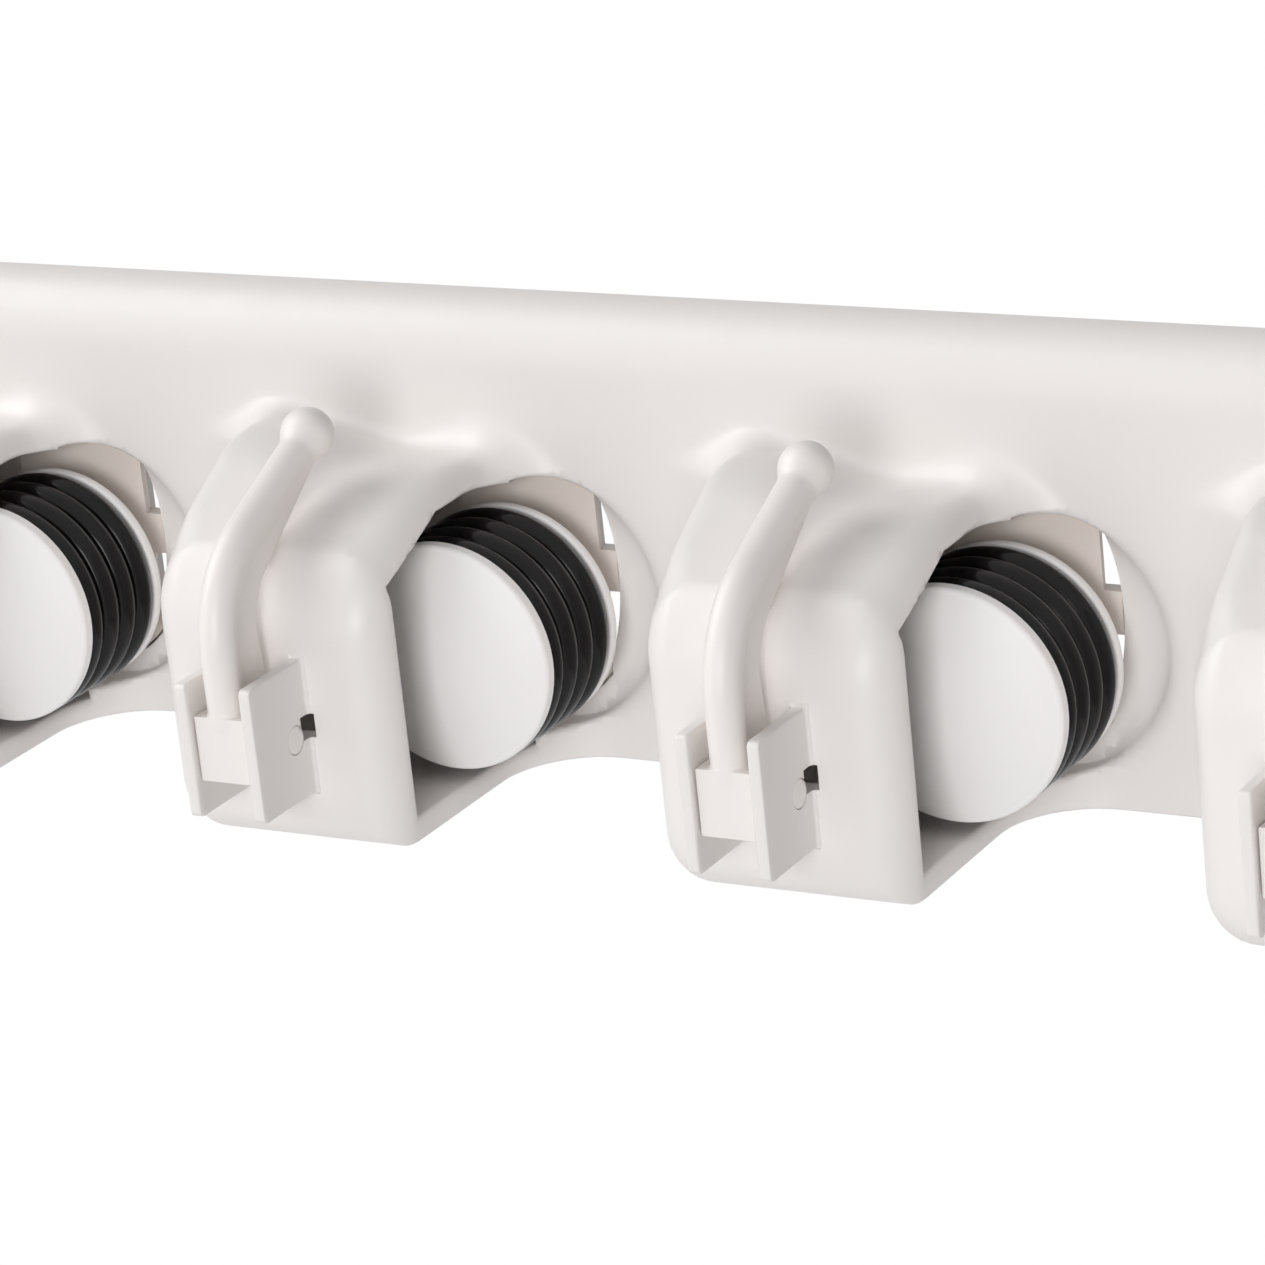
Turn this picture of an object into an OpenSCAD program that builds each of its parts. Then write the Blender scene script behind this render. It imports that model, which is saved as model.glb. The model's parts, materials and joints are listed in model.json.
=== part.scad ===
// Wall rack for mops and brooms: a moulded rail whose hollow prongs each carry
// a folding hook on the front and a sliding rubber roller in the open right side.
// A handle pushed up between a roller and the next prong is wedged by its weight.
// Frame: X along the rail, Y into the wall (wall plane y = 0), Z up.
// Origin: midway between the two wall screws, on the wall plane.
// "d" is a distance out from the wall, "h" a height above the rail's bottom edge.

/* [Rail] */
// Distance from one prong to the next
pitch = 76; // [72:1:90]
// Height of the rail
rail_h = 65; // [64:0.5:80]
// Depth of the flat plate, wall to front
plate_d = 9; // [8.5:0.1:12]
// Thickness of the plate's skin and rims
skin_t = 2.4; // [1.8:0.1:2.6]
// Length of rail past the side of an end prong
end_margin = 3.6; // [3.4:0.1:12]
// Rounding of the plate's top into the wall
top_r = 9; // [7:0.1:9]
// Rounding of the rail's outer corners
rail_corner_r = 3; // [1:0.5:4]
// Height of the wall screws below the rail's top edge
screw_drop = 15; // [14:0.5:19]
// Offset of a wall screw from the middle of its bay's left prong
screw_x = 38; // [35:0.5:40]
// Diameter of a wall screw hole
screw_hole_d = 5; // [4:0.1:6]
// Diameter of the countersink for a wall screw
screw_head_d = 9.4; // [8:0.1:10]
// Diameter of the boss around a wall screw
screw_boss_d = 12; // [11.5:0.5:14]

/* [Prong] */
// Width of a prong across its front
prong_w = 36; // [32:0.5:40]
// Depth of a prong, wall to front face
prong_d = 49; // [46:0.5:54]
// Wall thickness of a prong
prong_t = 2; // [1.6:0.1:2.4]
// Thickness of a prong's bottom
floor_t = 3.4; // [2.4:0.1:3.6]
// Height of the front edge of the roof
prong_h = 38.3; // [36:0.1:42]
// Slope of the roof
roof_slope = 24.3; // [20:0.1:28]
// Height of the flat back of the roof
roof_h = 49.6; // [48:0.1:52]
// Rounding between the front face and the roof
brow_r = 7; // [3:0.5:10]
// Rounding of a prong's left front corner
corner_r = 4.6; // [2.5:0.1:6]
// Rounding of a prong's right front corner, beside the opening
lip_r = 5.6; // [2.5:0.1:6]
// Distance from the wall at which the roof starts to fall to the plate
valley_d = 16; // [14:0.5:18]
// Fall of the roof from there to the plate
valley_drop = 3; // [1:0.1:3.5]
// Draft of a prong's left side
draft = 4.5; // [0.5:0.1:6]
// Radius of the hollow between a prong's left side and the plate
left_fillet_r = 14; // [8:0.5:16]
// Radius of the hollow between a prong's right side and the plate
right_fillet_r = 12; // [8:0.5:14]

/* [Roller bay] */
// Radius of the round pocket behind a roller
bay_r = 18.3; // [17.8:0.1:19]
// Offset of the pocket from the middle of its prong
bay_x = 20; // [19:0.1:22]
// Height of the pocket's centre
bay_h = 23.2; // [22.5:0.1:24]
// Width of the side wall left at the front of the opening
lip_w = 5.8; // [4:0.1:7]
// Height of the side wall left under the roof
lip_drop = 4.6; // [4:0.1:6]

/* [Roller] */
// Radius over the rubber rings
roller_r = 16.2; // [15:0.1:16.4]
// Offset of a resting roller's axis from the middle of its prong
roller_x = 16.8; // [16:0.1:18]
// Height of a resting roller's axis
roller_h = 21.8; // [21:0.1:23]
// Thickness of a rubber ring
ring_d = 4; // [3:0.1:4.2]
// Thickness of the roller's rear flange
flange_t = 1.8; // [1.2:0.1:2.6]
// Gap from the plate's front to the roller's back
roller_gap = 2; // [1:0.1:3]
// Rise of the cap's dome
cap_rise = 3.6; // [2:0.1:5]
// Height of the cap's straight rim
cap_rim = 1.6; // [1:0.1:2.4]
// Wall thickness of the cap
cap_t = 1.8; // [1.2:0.1:2.4]
// Outer radius of the cap's plug
plug_r = 9.5; // [8.5:0.1:10]
// Length of the cap's plug
plug_len = 4.5; // [3:0.1:6]
// Depth of the recess for the screw head in the core's front
core_recess = 6; // [5.5:0.1:8]

/* [Slider] */
// Angle of the slider's track above level
track_angle = 25; // [18:0.5:28]
// Travel of a slider along its track
travel = 10; // [6:0.5:11]
// Slider's reach from the axle to its right edge
slider_right = 11.5; // [10.5:0.1:12]
// Slider's reach from the axle to its left edge
slider_left = 10; // [8:0.5:12]
// Slider's height above the axle
slider_up = 24; // [22:0.1:25]
// Slider's height below the axle
slider_down = 9; // [8.5:0.1:9.5]
// Width of the open sliver at the slider's right edge
sliver_w = 2.8; // [2:0.1:3]
// Height of the stop on the slider's right edge
stop_h = 6; // [4:0.1:7]
// Height of the stop's middle above the axle
stop_up = 5.2; // [4:0.1:6]
// Half the height of the bowed sliver
bow_h = 13.5; // [12:0.5:15]
// Thickness of the slider's flange
slider_flange_t = 1.9; // [1.4:0.1:2.2]
// Overlap of the slider's flange behind the pocket's floor
slider_lap = 2; // [1.4:0.1:2.2]
// Distance of the flange's right end from the slider's right edge
flange_short = 2.5; // [1:0.1:4]
// Thickness of the pocket's floor
track_t = 2.4; // [1.8:0.1:2.6]
// Diameter of the axle
axle_d = 8; // [7:0.1:9]
// Diameter of the boss behind the roller
axle_boss_d = 14; // [11:0.5:16]
// Thickness of the keeper plate
keeper_t = 1.5; // [1:0.1:1.8]
// Width of the keeper plate's border past the flange
keeper_border = 2.4; // [2:0.1:3]
// Diameter of the keeper's staking studs
stud_d = 2; // [1.6:0.1:2.2]
// Diameter of the axle screw's shank
axle_screw_d = 3; // [2.5:0.1:3.5]
// Length of the axle screw's shank
axle_screw_len = 9; // [6:0.5:11]
// Diameter of the axle screw's washer
washer_d = 13; // [11:0.5:15]
// Thickness of the axle screw's washer
washer_t = 1.2; // [0.8:0.1:1.6]
// Diameter of the axle screw's head
head_d = 6; // [5:0.1:7]
// Height of the axle screw's head
head_h = 2.2; // [1.6:0.1:2.6]

/* [Hook] */
// Height of the hook's pivot
pivot_h = 17; // [16:0.1:18.5]
// Distance of the pivot from the prong's front face
pivot_d = 3.5; // [3.3:0.1:4]
// Diameter of the hook's trunnions
trunnion_d = 4; // [3:0.1:4.4]
// Width of the hook's base block
block_w = 8; // [7:0.1:9]
// Reach of the base block in front of the pivot
block_reach = 8.3; // [7:0.1:9]
// Height of the base block above the pivot
block_up = 5.8; // [5:0.1:7]
// Height of the base block below the pivot
block_down = 3.3; // [3:0.1:3.4]
// Diameter of the hook's rod
rod_d = 5; // [4:0.1:5.6]
// Distance of the rod in front of the pivot
rod_reach = 6.5; // [5.8:0.1:7]
// Bend radius of the rod
rod_bend_r = 15; // [12:0.5:16]
// Distance from the bend's corner to the ball, along the rod
rod_run = 29.4; // [26:0.1:32]
// Height of the bend's corner above the pivot
rod_rise = 24.1; // [23:0.1:26]
// Diameter of the ball at the hook's tip
ball_d = 7.4; // [6:0.1:8]
// Thickness of the web behind the rod
web_t = 2.6; // [2:0.1:3.4]
// Gap between the web and the prong
web_gap = 0.8; // [0.5:0.1:1.2]
// Thickness of a bracket cheek
cheek_t = 1.8; // [1.4:0.1:2.4]
// Reach of a cheek from the prong's face
cheek_reach = 13; // [12:0.1:15]
// Height of a cheek above the pivot
cheek_up = 10.4; // [8:0.1:12]
// Height of a cheek below the pivot
cheek_down = 8.6; // [6:0.1:10]

/* [Fits] */
// Radial play of a pin or axle in its bore
run_play = 0.05; // [0.02:0.01:0.1]
// Play along the slider's track and beside the hook
slide_play = 0.2; // [0.1:0.05:0.4]
// Play along an axis
end_play = 0.15; // [0.1:0.05:0.3]

/* [Hidden] */
BAYS = 5;
PRONGS = BAYS + 1;
RINGS = 4;
$fn = 64;
EPS = 0.5;
SEAM = 0.02;

screw_h = rail_h - screw_drop;
end_x = (PRONGS - 1) / 2 * pitch + prong_w / 2 + end_margin;
track_y = plate_d - skin_t;
flange_d = track_y - track_t - slide_play / 2;
keeper_d = flange_d - slider_flange_t - slide_play / 2;
roller_back = plate_d + roller_gap;
ring_d0 = roller_back + flange_t + ring_d / 2;
ring_pitch = ring_d + 2 * run_play;
core_front = ring_d0 + (RINGS - 1) * ring_pitch + ring_d / 2 + run_play;
core_r = roller_r - ring_d - run_play;
recess_d = core_front - core_recess;
axle_front = recess_d + end_play;
pivot_y = -(prong_d + pivot_d);
knuckle_r = pivot_d - slide_play;
corner_run = rod_bend_r * tan((90 - roof_slope) / 2);
cheek_x = block_w / 2 + slide_play;
WHITE = [0.89, 0.87, 0.86];
CREAM = [0.90, 0.87, 0.83];
BLACK = [0.03, 0.03, 0.035];
STEEL = [0.62, 0.63, 0.65];

function prong_x(i) = (i - (PRONGS + 1) / 2) * pitch;
function left_x(d, inset) = -prong_w / 2 + inset / cos(draft) - (prong_d - d) * tan(draft);
function roof_at(d) = prong_h + (prong_d - d) * tan(roof_slope);

// Puts heights above the rail's bottom edge into the frame.
module from_bottom() {
    translate([0, 0, -screw_h]) children();
}

// Extrudes an (x, h) outline between two distances from the wall.
module slab(d0, d1) {
    translate([0, -d0, 0]) rotate([90, 0, 0]) linear_extrude(d1 - d0) children();
}

// Turns an (r, d) outline about an axis that points out of the wall.
module turned() {
    rotate([90, 0, 0]) rotate_extrude() children();
}

// Extrudes a (y, h) outline along X, centred on the prong's middle.
module across(x0, x1) {
    translate([x0, 0, 0]) rotate([90, 0, 90]) linear_extrude(x1 - x0) children();
}

// Rounded rectangle with its lower left corner at (x, h).
module round_rect(x, h, w, t, r) {
    translate([x + r, h]) square([w - 2 * r, t]);
    translate([x, h + r]) square([w, t - 2 * r]);
    for (a = [x + r, x + w - r], b = [h + r, h + t - r]) translate([a, b]) circle(r);
}

// Side profile of the plate with its rounded top, moved in by an inset.
module plate_profile(inset) {
    r = top_r - inset;
    polygon([
        [EPS, inset],
        [inset - plate_d, inset],
        [inset - plate_d, rail_h - top_r],
        [top_r - plate_d, rail_h - top_r],
        [top_r - plate_d, rail_h - inset],
        [EPS, rail_h - inset]
    ]);
    translate([top_r - plate_d, rail_h - top_r]) intersection() {
        circle(r);
        translate([-r, -SEAM]) square([r + SEAM, r + SEAM]);
    }
}

// One half of a prong's plan, from its middle to a side with the given draft and back to a given y.
module half_plan(inset, lean, back, round_r) {
    r = round_r - min(inset, round_r - 0.5);
    side = prong_w / 2 - inset / cos(lean);
    front = prong_d - inset;
    cx = side - r * (1 - sin(lean)) / cos(lean) + inset * tan(lean);
    cy = -front + r;
    tx = cx + (r - SEAM) * cos(lean);
    ty = cy - (r - SEAM) * sin(lean);
    polygon([
        [-EPS, back],
        [-EPS, -front],
        [cx, -front],
        [cx, cy],
        [tx, ty],
        [tx + (back - ty) * tan(lean), back]
    ]);
    translate([cx, cy]) circle(r);
}

// Concave fillet in plan between the plate and a side with the given draft.
module plan_fillet(r, lean) {
    cy = -(plate_d + r);
    wall = prong_w / 2 + (prong_d + cy) * tan(lean);
    cx = wall + r / cos(lean);
    tx = cx - r * cos(lean);
    ty = cy + r * sin(lean);
    difference() {
        polygon([
            [cx, EPS - plate_d],
            [cx, -plate_d],
            [tx, ty],
            [tx - prong_t / 2, ty],
            [tx - prong_t / 2, EPS - plate_d]
        ]);
        translate([cx, cy]) circle(r);
    }
}

// Side profile under the roof, moved in by an inset.
module roof_profile(inset) {
    drop = inset / cos(roof_slope);
    r = max(brow_r - inset, EPS);
    t = r * tan((90 - roof_slope) / 2);
    top = prong_h - drop + inset * tan(roof_slope);
    front = prong_d - inset;
    intersection() {
        polygon([
            [EPS, 0],
            [-front, 0],
            [-front, top - t],
            [-front + t * cos(roof_slope), top + t * sin(roof_slope)],
            [EPS, top + (front + EPS) * tan(roof_slope)]
        ]);
        polygon([
            [plate_d, 0],
            [-2 * prong_d, 0],
            [-2 * prong_d, roof_h - inset],
            [-valley_d, roof_h - inset],
            [-plate_d, roof_h - inset - valley_drop],
            [plate_d, roof_h - inset - valley_drop]
        ]);
    }
    translate([-front + r, top - t]) circle(r);
}

// Outside of one prong; the last prong has the same draft on both sides.
module prong_solid(last) {
    lean = last ? draft : 0;
    intersection() {
        linear_extrude(roof_h + EPS) {
            mirror([1, 0]) half_plan(0, draft, -plate_d / 2, corner_r);
            half_plan(0, lean, -plate_d / 2, last ? corner_r : lip_r);
        }
        across(-pitch, pitch) roof_profile(0);
    }
}

// Fillets from one prong's sides to the plate, as high as the roof.
module prong_fillets(i) {
    if (i > 1) linear_extrude(roof_h) mirror([1, 0]) plan_fillet(left_fillet_r, draft);
    if (i < PRONGS) linear_extrude(bay_h + bay_r + prong_t) plan_fillet(right_fillet_r, 0);
}

// Hollow inside one prong, open at the back.
module prong_hollow(last) {
    lean = last ? draft : 0;
    intersection() {
        translate([0, 0, floor_t]) linear_extrude(roof_h) {
            mirror([1, 0]) half_plan(prong_t, draft, EPS, corner_r);
            half_plan(prong_t, lean, EPS, last ? corner_r : lip_r);
        }
        across(-pitch, pitch) roof_profile(prong_t);
    }
}

// Opening in a prong's right side, and the round pocket it runs into.
module bay_opening() {
    front = prong_d - lip_w;
    translate([bay_x, 0, bay_h]) slab(track_y, plate_d + right_fillet_r + EPS) circle(bay_r);
    across(prong_w / 2 - prong_t - EPS, bay_x) polygon([
        [-plate_d, floor_t],
        [-front, floor_t],
        [-front, roof_at(front) - lip_drop],
        [-(prong_d - (bay_h + bay_r + lip_drop - prong_h) / tan(roof_slope)), bay_h + bay_r],
        [-plate_d, bay_h + bay_r]
    ]);
}

// Outline of something that slides on the track: upright ends and sloping edges.
module track_outline(left, right, down, up) {
    k = tan(track_angle);
    polygon([
        [-left, left * k - down],
        [right, -right * k - down],
        [right, -right * k + up],
        [-left, left * k + up]
    ]);
}

// Window in the pocket's floor that the slider runs in, with a bowed right end.
module track_window() {
    run = slider_left + travel * cos(track_angle) + 4 * slide_play;
    bow = (bow_h * bow_h + sliver_w * sliver_w) / (2 * sliver_w);
    intersection() {
        track_outline(run, slider_right + 2 * sliver_w, slider_down + slide_play, slider_up + slide_play);
        union() {
            translate([-pitch, -pitch]) square([pitch + slider_right + slide_play, 2 * pitch]);
            translate([slider_right + sliver_w - bow, stop_up]) circle(bow, $fn = 128);
        }
    }
}

// Room that the slider's flange needs behind the floor, grown by a border.
module flange_room(border) {
    run = slider_left + travel * cos(track_angle) + 4 * slide_play;
    lap = (slider_lap + slide_play + border) / cos(track_angle);
    track_outline(run + border, slider_right + sliver_w + border, slider_down + lap, slider_up + lap);
}

// Keeper plate's outline, kept clear of the rail's rims.
module keeper_outline() {
    low = skin_t + slide_play - roller_h;
    intersection() {
        flange_room(keeper_border);
        translate([-pitch, low]) square([2 * pitch, rail_h - 2 * (skin_t + slide_play)]);
    }
}

// Places of the studs that hold a keeper, on its left and right borders.
module at_studs() {
    run = slider_left + travel * cos(track_angle) + 4 * slide_play;
    mid = (slider_up - slider_down) / 2;
    k = tan(track_angle);
    for (x = [-run - keeper_border / 2, slider_right + sliver_w + keeper_border / 2])
        translate([x, mid - x * k]) children();
}

// Floor behind one roller with its track, the ribs that carry the keeper, and the studs.
module track_floor() {
    left = left_x(track_y, prong_t / 2);
    difference() {
        slab(track_y - track_t, track_y + EPS / 2)
            translate([left, floor_t / 2])
                square([bay_x + bay_r + skin_t - left, rail_h - top_r + skin_t / 2 - floor_t / 2]);
        translate([roller_x, 0, roller_h]) slab(0, plate_d) track_window();
        translate([bay_x, 0, bay_h]) slab(track_y, plate_d) circle(bay_r);
    }
    translate([roller_x, 0, roller_h]) {
        slab(keeper_d, track_y - track_t + EPS / 2) difference() {
            keeper_outline();
            flange_room(0);
        }
        slab(keeper_d - keeper_t + end_play, keeper_d + EPS / 2) at_studs() circle(d = stud_d);
    }
}

// Bracket cheeks for one hook, with trunnion bores and the slots behind them.
module hook_cheeks() {
    for (side = [-1, 1]) difference() {
        across(side * (cheek_x + cheek_t / 2) - cheek_t / 2, side * (cheek_x + cheek_t / 2) + cheek_t / 2)
            translate([-prong_d - cheek_reach, pivot_h - cheek_down])
                square([cheek_reach + prong_t / 2, cheek_down + cheek_up]);
        translate([-pitch, pivot_y, pivot_h]) rotate([0, 90, 0])
            cylinder(h = 2 * pitch, d = trunnion_d + 2 * run_play);
        across(-pitch, pitch)
            translate([pivot_y + trunnion_d * 0.35, pivot_h - trunnion_d * 0.2])
                square([pivot_d - trunnion_d * 0.35, trunnion_d * 0.85]);
    }
}

// Wall screw boss and its countersunk hole.
module screw_boss() {
    slab(0, plate_d - EPS / 2) circle(d = screw_boss_d);
}

module screw_hole() {
    sink = (screw_head_d - screw_hole_d) / 2;
    slab(-EPS, plate_d + EPS) circle(d = screw_hole_d);
    turned() polygon([
        [0, plate_d - sink],
        [screw_hole_d / 2, plate_d - sink],
        [screw_head_d / 2 + EPS, plate_d + EPS],
        [0, plate_d + EPS]
    ]);
}

// One moulding: plate with rims, prongs, hook brackets, roller tracks and screw bosses.
module rail_shell() {
    color(WHITE) from_bottom() difference() {
        union() {
            difference() {
                union() {
                    intersection() {
                        slab(0, plate_d) round_rect(-end_x, 0, 2 * end_x, rail_h, rail_corner_r);
                        across(-end_x - EPS, end_x + EPS) plate_profile(0);
                    }
                    for (i = [1:PRONGS]) translate([prong_x(i), 0, 0]) {
                        prong_solid(i == PRONGS);
                        prong_fillets(i);
                    }
                }
                across(skin_t - end_x, end_x - skin_t) plate_profile(skin_t);
                for (i = [1:PRONGS]) translate([prong_x(i), 0, 0]) prong_hollow(i == PRONGS);
                for (i = [1:BAYS]) translate([prong_x(i), 0, 0]) bay_opening();
            }
            for (i = [1:BAYS]) translate([prong_x(i), 0, 0]) track_floor();
            for (i = [1:PRONGS]) translate([prong_x(i), 0, 0]) hook_cheeks();
            for (i = [1, BAYS]) translate([prong_x(i) + screw_x, 0, screw_h]) screw_boss();
        }
        for (i = [1, BAYS]) translate([prong_x(i) + screw_x, 0, screw_h]) screw_hole();
    }
}

// Puts a part on a resting roller's axis.
module at_roller(i) {
    from_bottom() translate([prong_x(i) + roller_x, 0, roller_h]) children();
}

// Frame staked behind one track, which keeps the slider's flange in.
module keeper_plate(i) {
    run = slider_left + travel * cos(track_angle) + 4 * slide_play;
    color(WHITE) at_roller(i) slab(keeper_d - keeper_t, keeper_d) difference() {
        keeper_outline();
        track_outline(
            run - keeper_border, slider_right + sliver_w,
            slider_down - slide_play, slider_up - slide_play
        );
        at_studs() circle(d = stud_d + 2 * run_play);
    }
}

// Carriage in the track with the roller's axle on its front.
module slider(i) {
    lap = slider_lap / cos(track_angle);
    pilot = axle_screw_d + 2 * run_play;
    color(CREAM) at_roller(i) difference() {
        union() {
            slab(flange_d - EPS / 2, track_y - slide_play)
                track_outline(slider_left, slider_right, slider_down, slider_up);
            slab(flange_d - EPS / 2, track_y - slide_play) translate([slider_right - EPS, stop_up - stop_h / 2])
                square([sliver_w + EPS - slide_play, stop_h]);
            slab(flange_d - slider_flange_t, flange_d)
                track_outline(slider_left, slider_right - flange_short, slider_down + lap, slider_up + lap);
            slab(track_y - EPS, roller_back - end_play) circle(d = axle_boss_d);
            slab(track_y - EPS, axle_front) circle(d = axle_d);
        }
        slab(axle_front - axle_screw_len - end_play, axle_front + EPS) circle(d = pilot);
    }
}

// Screw with a washer head that keeps the roller on its axle.
module axle_screw(i) {
    color(STEEL) at_roller(i) difference() {
        turned() polygon([
            [0, axle_front - axle_screw_len],
            [axle_screw_d / 2, axle_front - axle_screw_len],
            [axle_screw_d / 2, axle_front],
            [washer_d / 2, axle_front],
            [washer_d / 2, axle_front + washer_t],
            [head_d / 2, axle_front + washer_t],
            [head_d / 2, axle_front + washer_t + head_h],
            [0, axle_front + washer_t + head_h]
        ]);
        for (a = [0, 90]) rotate([0, a, 0])
            translate([0, -(axle_front + washer_t + head_h), 0])
                cube([head_d * 0.7, head_h, head_d * 0.16], center = true);
    }
}

// Spool that turns on the axle: rear flange, seat for the rings and a front recess.
module roller_core(i) {
    bore = axle_d / 2 + run_play;
    recess_r = plug_r + run_play;
    lip = roller_r - ring_d * 0.05;
    color(WHITE) at_roller(i) turned() polygon([
        [bore, roller_back],
        [lip - flange_t / 4, roller_back],
        [lip, roller_back + flange_t / 4],
        [lip, roller_back + flange_t - run_play],
        [core_r, roller_back + flange_t - run_play],
        [core_r, core_front],
        [recess_r, core_front],
        [recess_r, recess_d],
        [bore, recess_d]
    ]);
}

// Four rubber rings on the spool.
module grip_rings(i) {
    color(BLACK) at_roller(i) for (k = [0:RINGS - 1])
        turned() translate([roller_r - ring_d / 2, ring_d0 + k * ring_pitch]) circle(d = ring_d);
}

// Domed cap plugged into the spool's front.
module roller_cap(i) {
    rim = core_front + cap_rim;
    dome_r = (roller_r * roller_r + cap_rise * cap_rise) / (2 * cap_rise);
    color(WHITE) at_roller(i) turned() difference() {
        union() {
            translate([0, core_front]) square([roller_r, cap_rim]);
            intersection() {
                translate([0, rim + cap_rise - dome_r]) circle(dome_r, $fn = 128);
                translate([0, rim - EPS]) square([roller_r, cap_rise + 2 * EPS]);
            }
            translate([plug_r - cap_t, core_front - plug_len]) square([cap_t, plug_len + EPS]);
        }
        translate([-dome_r, core_front - plug_len - EPS])
            square([dome_r + plug_r - cap_t, plug_len + cap_rim - cap_t + EPS + cap_rise / 2]);
        translate([-2 * dome_r, core_front - 2 * dome_r]) square([2 * dome_r, 4 * dome_r]);
    }
}

// Folding hook: trunnions, knuckle, base block, bent rod with a web, and a ball.
module hook(i) {
    bend_z = rod_rise - corner_run;
    slope_y = corner_run * cos(roof_slope) - rod_reach;
    slope_z = rod_rise + corner_run * sin(roof_slope);
    tip_y = rod_run * cos(roof_slope) - rod_reach;
    tip_z = rod_rise + rod_run * sin(roof_slope);
    color(CREAM) from_bottom() translate([prong_x(i), pivot_y, pivot_h]) {
        rotate([0, 90, 0])
            cylinder(h = 2 * (cheek_x + cheek_t), d = trunnion_d, center = true);
        rotate([0, 90, 0]) cylinder(h = block_w, r = knuckle_r, center = true);
        across(-block_w / 2, block_w / 2) polygon([
            [-block_reach, -block_down],
            [0, -block_down],
            [0, 0],
            [knuckle_r, 0],
            [knuckle_r, block_up],
            [-block_reach, block_up]
        ]);
        translate([0, -rod_reach, 0]) cylinder(h = bend_z, d = rod_d);
        translate([0, rod_bend_r - rod_reach, bend_z]) rotate([90, 0, 90])
            rotate([0, 0, 90 + roof_slope]) rotate_extrude(angle = 90 - roof_slope)
                translate([rod_bend_r, 0]) circle(d = rod_d);
        translate([0, slope_y, slope_z]) rotate([-(90 - roof_slope), 0, 0])
            cylinder(h = rod_run - corner_run, d = rod_d);
        translate([0, tip_y, tip_z]) sphere(d = ball_d);
        across(-web_t / 2, web_t / 2) difference() {
            polygon([
                [-rod_reach, block_up - EPS],
                [pivot_d, block_up - EPS],
                [pivot_d, prong_h - pivot_h],
                [tip_y - ball_d / 2, tip_z - (ball_d + rod_d) / 4],
                [slope_y, slope_z],
                [(slope_y - rod_reach) / 2, (slope_z + bend_z) / 2],
                [-rod_reach, bend_z]
            ]);
            translate([-pivot_y, -pivot_h]) roof_profile(-web_gap);
        }
    }
}

rail_shell();
for (i = [1:BAYS]) {
    keeper_plate(i);
    slider(i);
    axle_screw(i);
    roller_core(i);
    grip_rings(i);
    roller_cap(i);
}
for (i = [1:PRONGS]) {
    hook(i);
}
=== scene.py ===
"""Looks of a wall mop holder rack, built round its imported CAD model.

The moulded pieces (rail, brackets, hooks, sliders, keepers) are zero levels of distance fields, worked
out in millimetres: a field is negative inside the plastic, a cut is a maximum, a union is a minimum, and
an edge or a hollow corner is rounded where two fields meet. The turned pieces (spools, rings, caps, studs)
are profiles carried round an axis. All of it is computed as whole arrays, in the frame of the CAD model.
"""

import json
import math

import bpy
import numpy as np
from bpy.props import FloatProperty, FloatVectorProperty, PointerProperty
from mathutils import Matrix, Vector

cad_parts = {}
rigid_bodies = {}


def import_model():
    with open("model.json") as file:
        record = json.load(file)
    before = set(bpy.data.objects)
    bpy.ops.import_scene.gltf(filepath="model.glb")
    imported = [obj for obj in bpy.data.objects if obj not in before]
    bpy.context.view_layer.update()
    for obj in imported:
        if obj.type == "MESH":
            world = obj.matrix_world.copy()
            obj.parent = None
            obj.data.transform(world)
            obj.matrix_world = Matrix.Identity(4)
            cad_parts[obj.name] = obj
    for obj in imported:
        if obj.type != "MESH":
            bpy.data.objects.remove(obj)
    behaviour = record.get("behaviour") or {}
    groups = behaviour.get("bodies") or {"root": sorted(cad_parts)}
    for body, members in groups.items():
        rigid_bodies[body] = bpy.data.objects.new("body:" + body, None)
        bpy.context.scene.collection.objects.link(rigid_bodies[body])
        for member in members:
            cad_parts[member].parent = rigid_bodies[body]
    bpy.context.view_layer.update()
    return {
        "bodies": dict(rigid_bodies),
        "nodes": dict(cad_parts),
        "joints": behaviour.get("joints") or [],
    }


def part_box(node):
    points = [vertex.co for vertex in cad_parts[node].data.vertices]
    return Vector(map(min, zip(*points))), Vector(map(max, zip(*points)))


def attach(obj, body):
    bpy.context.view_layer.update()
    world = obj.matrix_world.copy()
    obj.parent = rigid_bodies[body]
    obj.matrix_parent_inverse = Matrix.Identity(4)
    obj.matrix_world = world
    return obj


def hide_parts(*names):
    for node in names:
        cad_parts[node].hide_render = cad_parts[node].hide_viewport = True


bl_info = {
    "name": "Wall Mop Holder Rack",
    "version": (1, 0, 0),
    "blender": (4, 5, 0),
    "location": "View3D > Sidebar > Rack",
    "description": "Moulded wall rack with sliding rubber rollers and fold-down hooks",
    "category": "Object",
}

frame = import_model()

MM = 0.001
JOINTS = {j["name"]: j for j in frame["joints"]}
HOOKS = sorted(n for n in frame["bodies"] if n.startswith("hook_"))
ROLLERS = sorted(n for n in frame["bodies"] if n.startswith("roller_"))
PIVOTS = [np.array(JOINTS[n + "_fold"]["pos_m"]) / MM for n in HOOKS]
AXLES = [np.array(JOINTS[n + "_spin"]["pos_m"]) / MM for n in ROLLERS]
RAIL_LOW, RAIL_HIGH = (np.array(v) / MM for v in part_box("rail_shell"))
PRONGS = len(HOOKS)
SPAN = (PIVOTS[-1][0] - PIVOTS[0][0]) / (PRONGS - 1)


# Sizes and colours

def length(name, about, mm):
    """A length property in metres whose default is given in millimetres."""
    return FloatProperty(name=name, description=about, default=mm * MM, min=0.0, unit="LENGTH", precision=5)


def angle(name, about, degrees):
    """An angle property whose default is given in degrees."""
    return FloatProperty(name=name, description=about, default=math.radians(degrees), unit="ROTATION")


def tint(name, about, rgb):
    """A colour property in linear RGB."""
    return FloatVectorProperty(
        name=name, description=about, default=rgb, size=3, min=0, max=1, subtype="COLOR")


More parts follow.
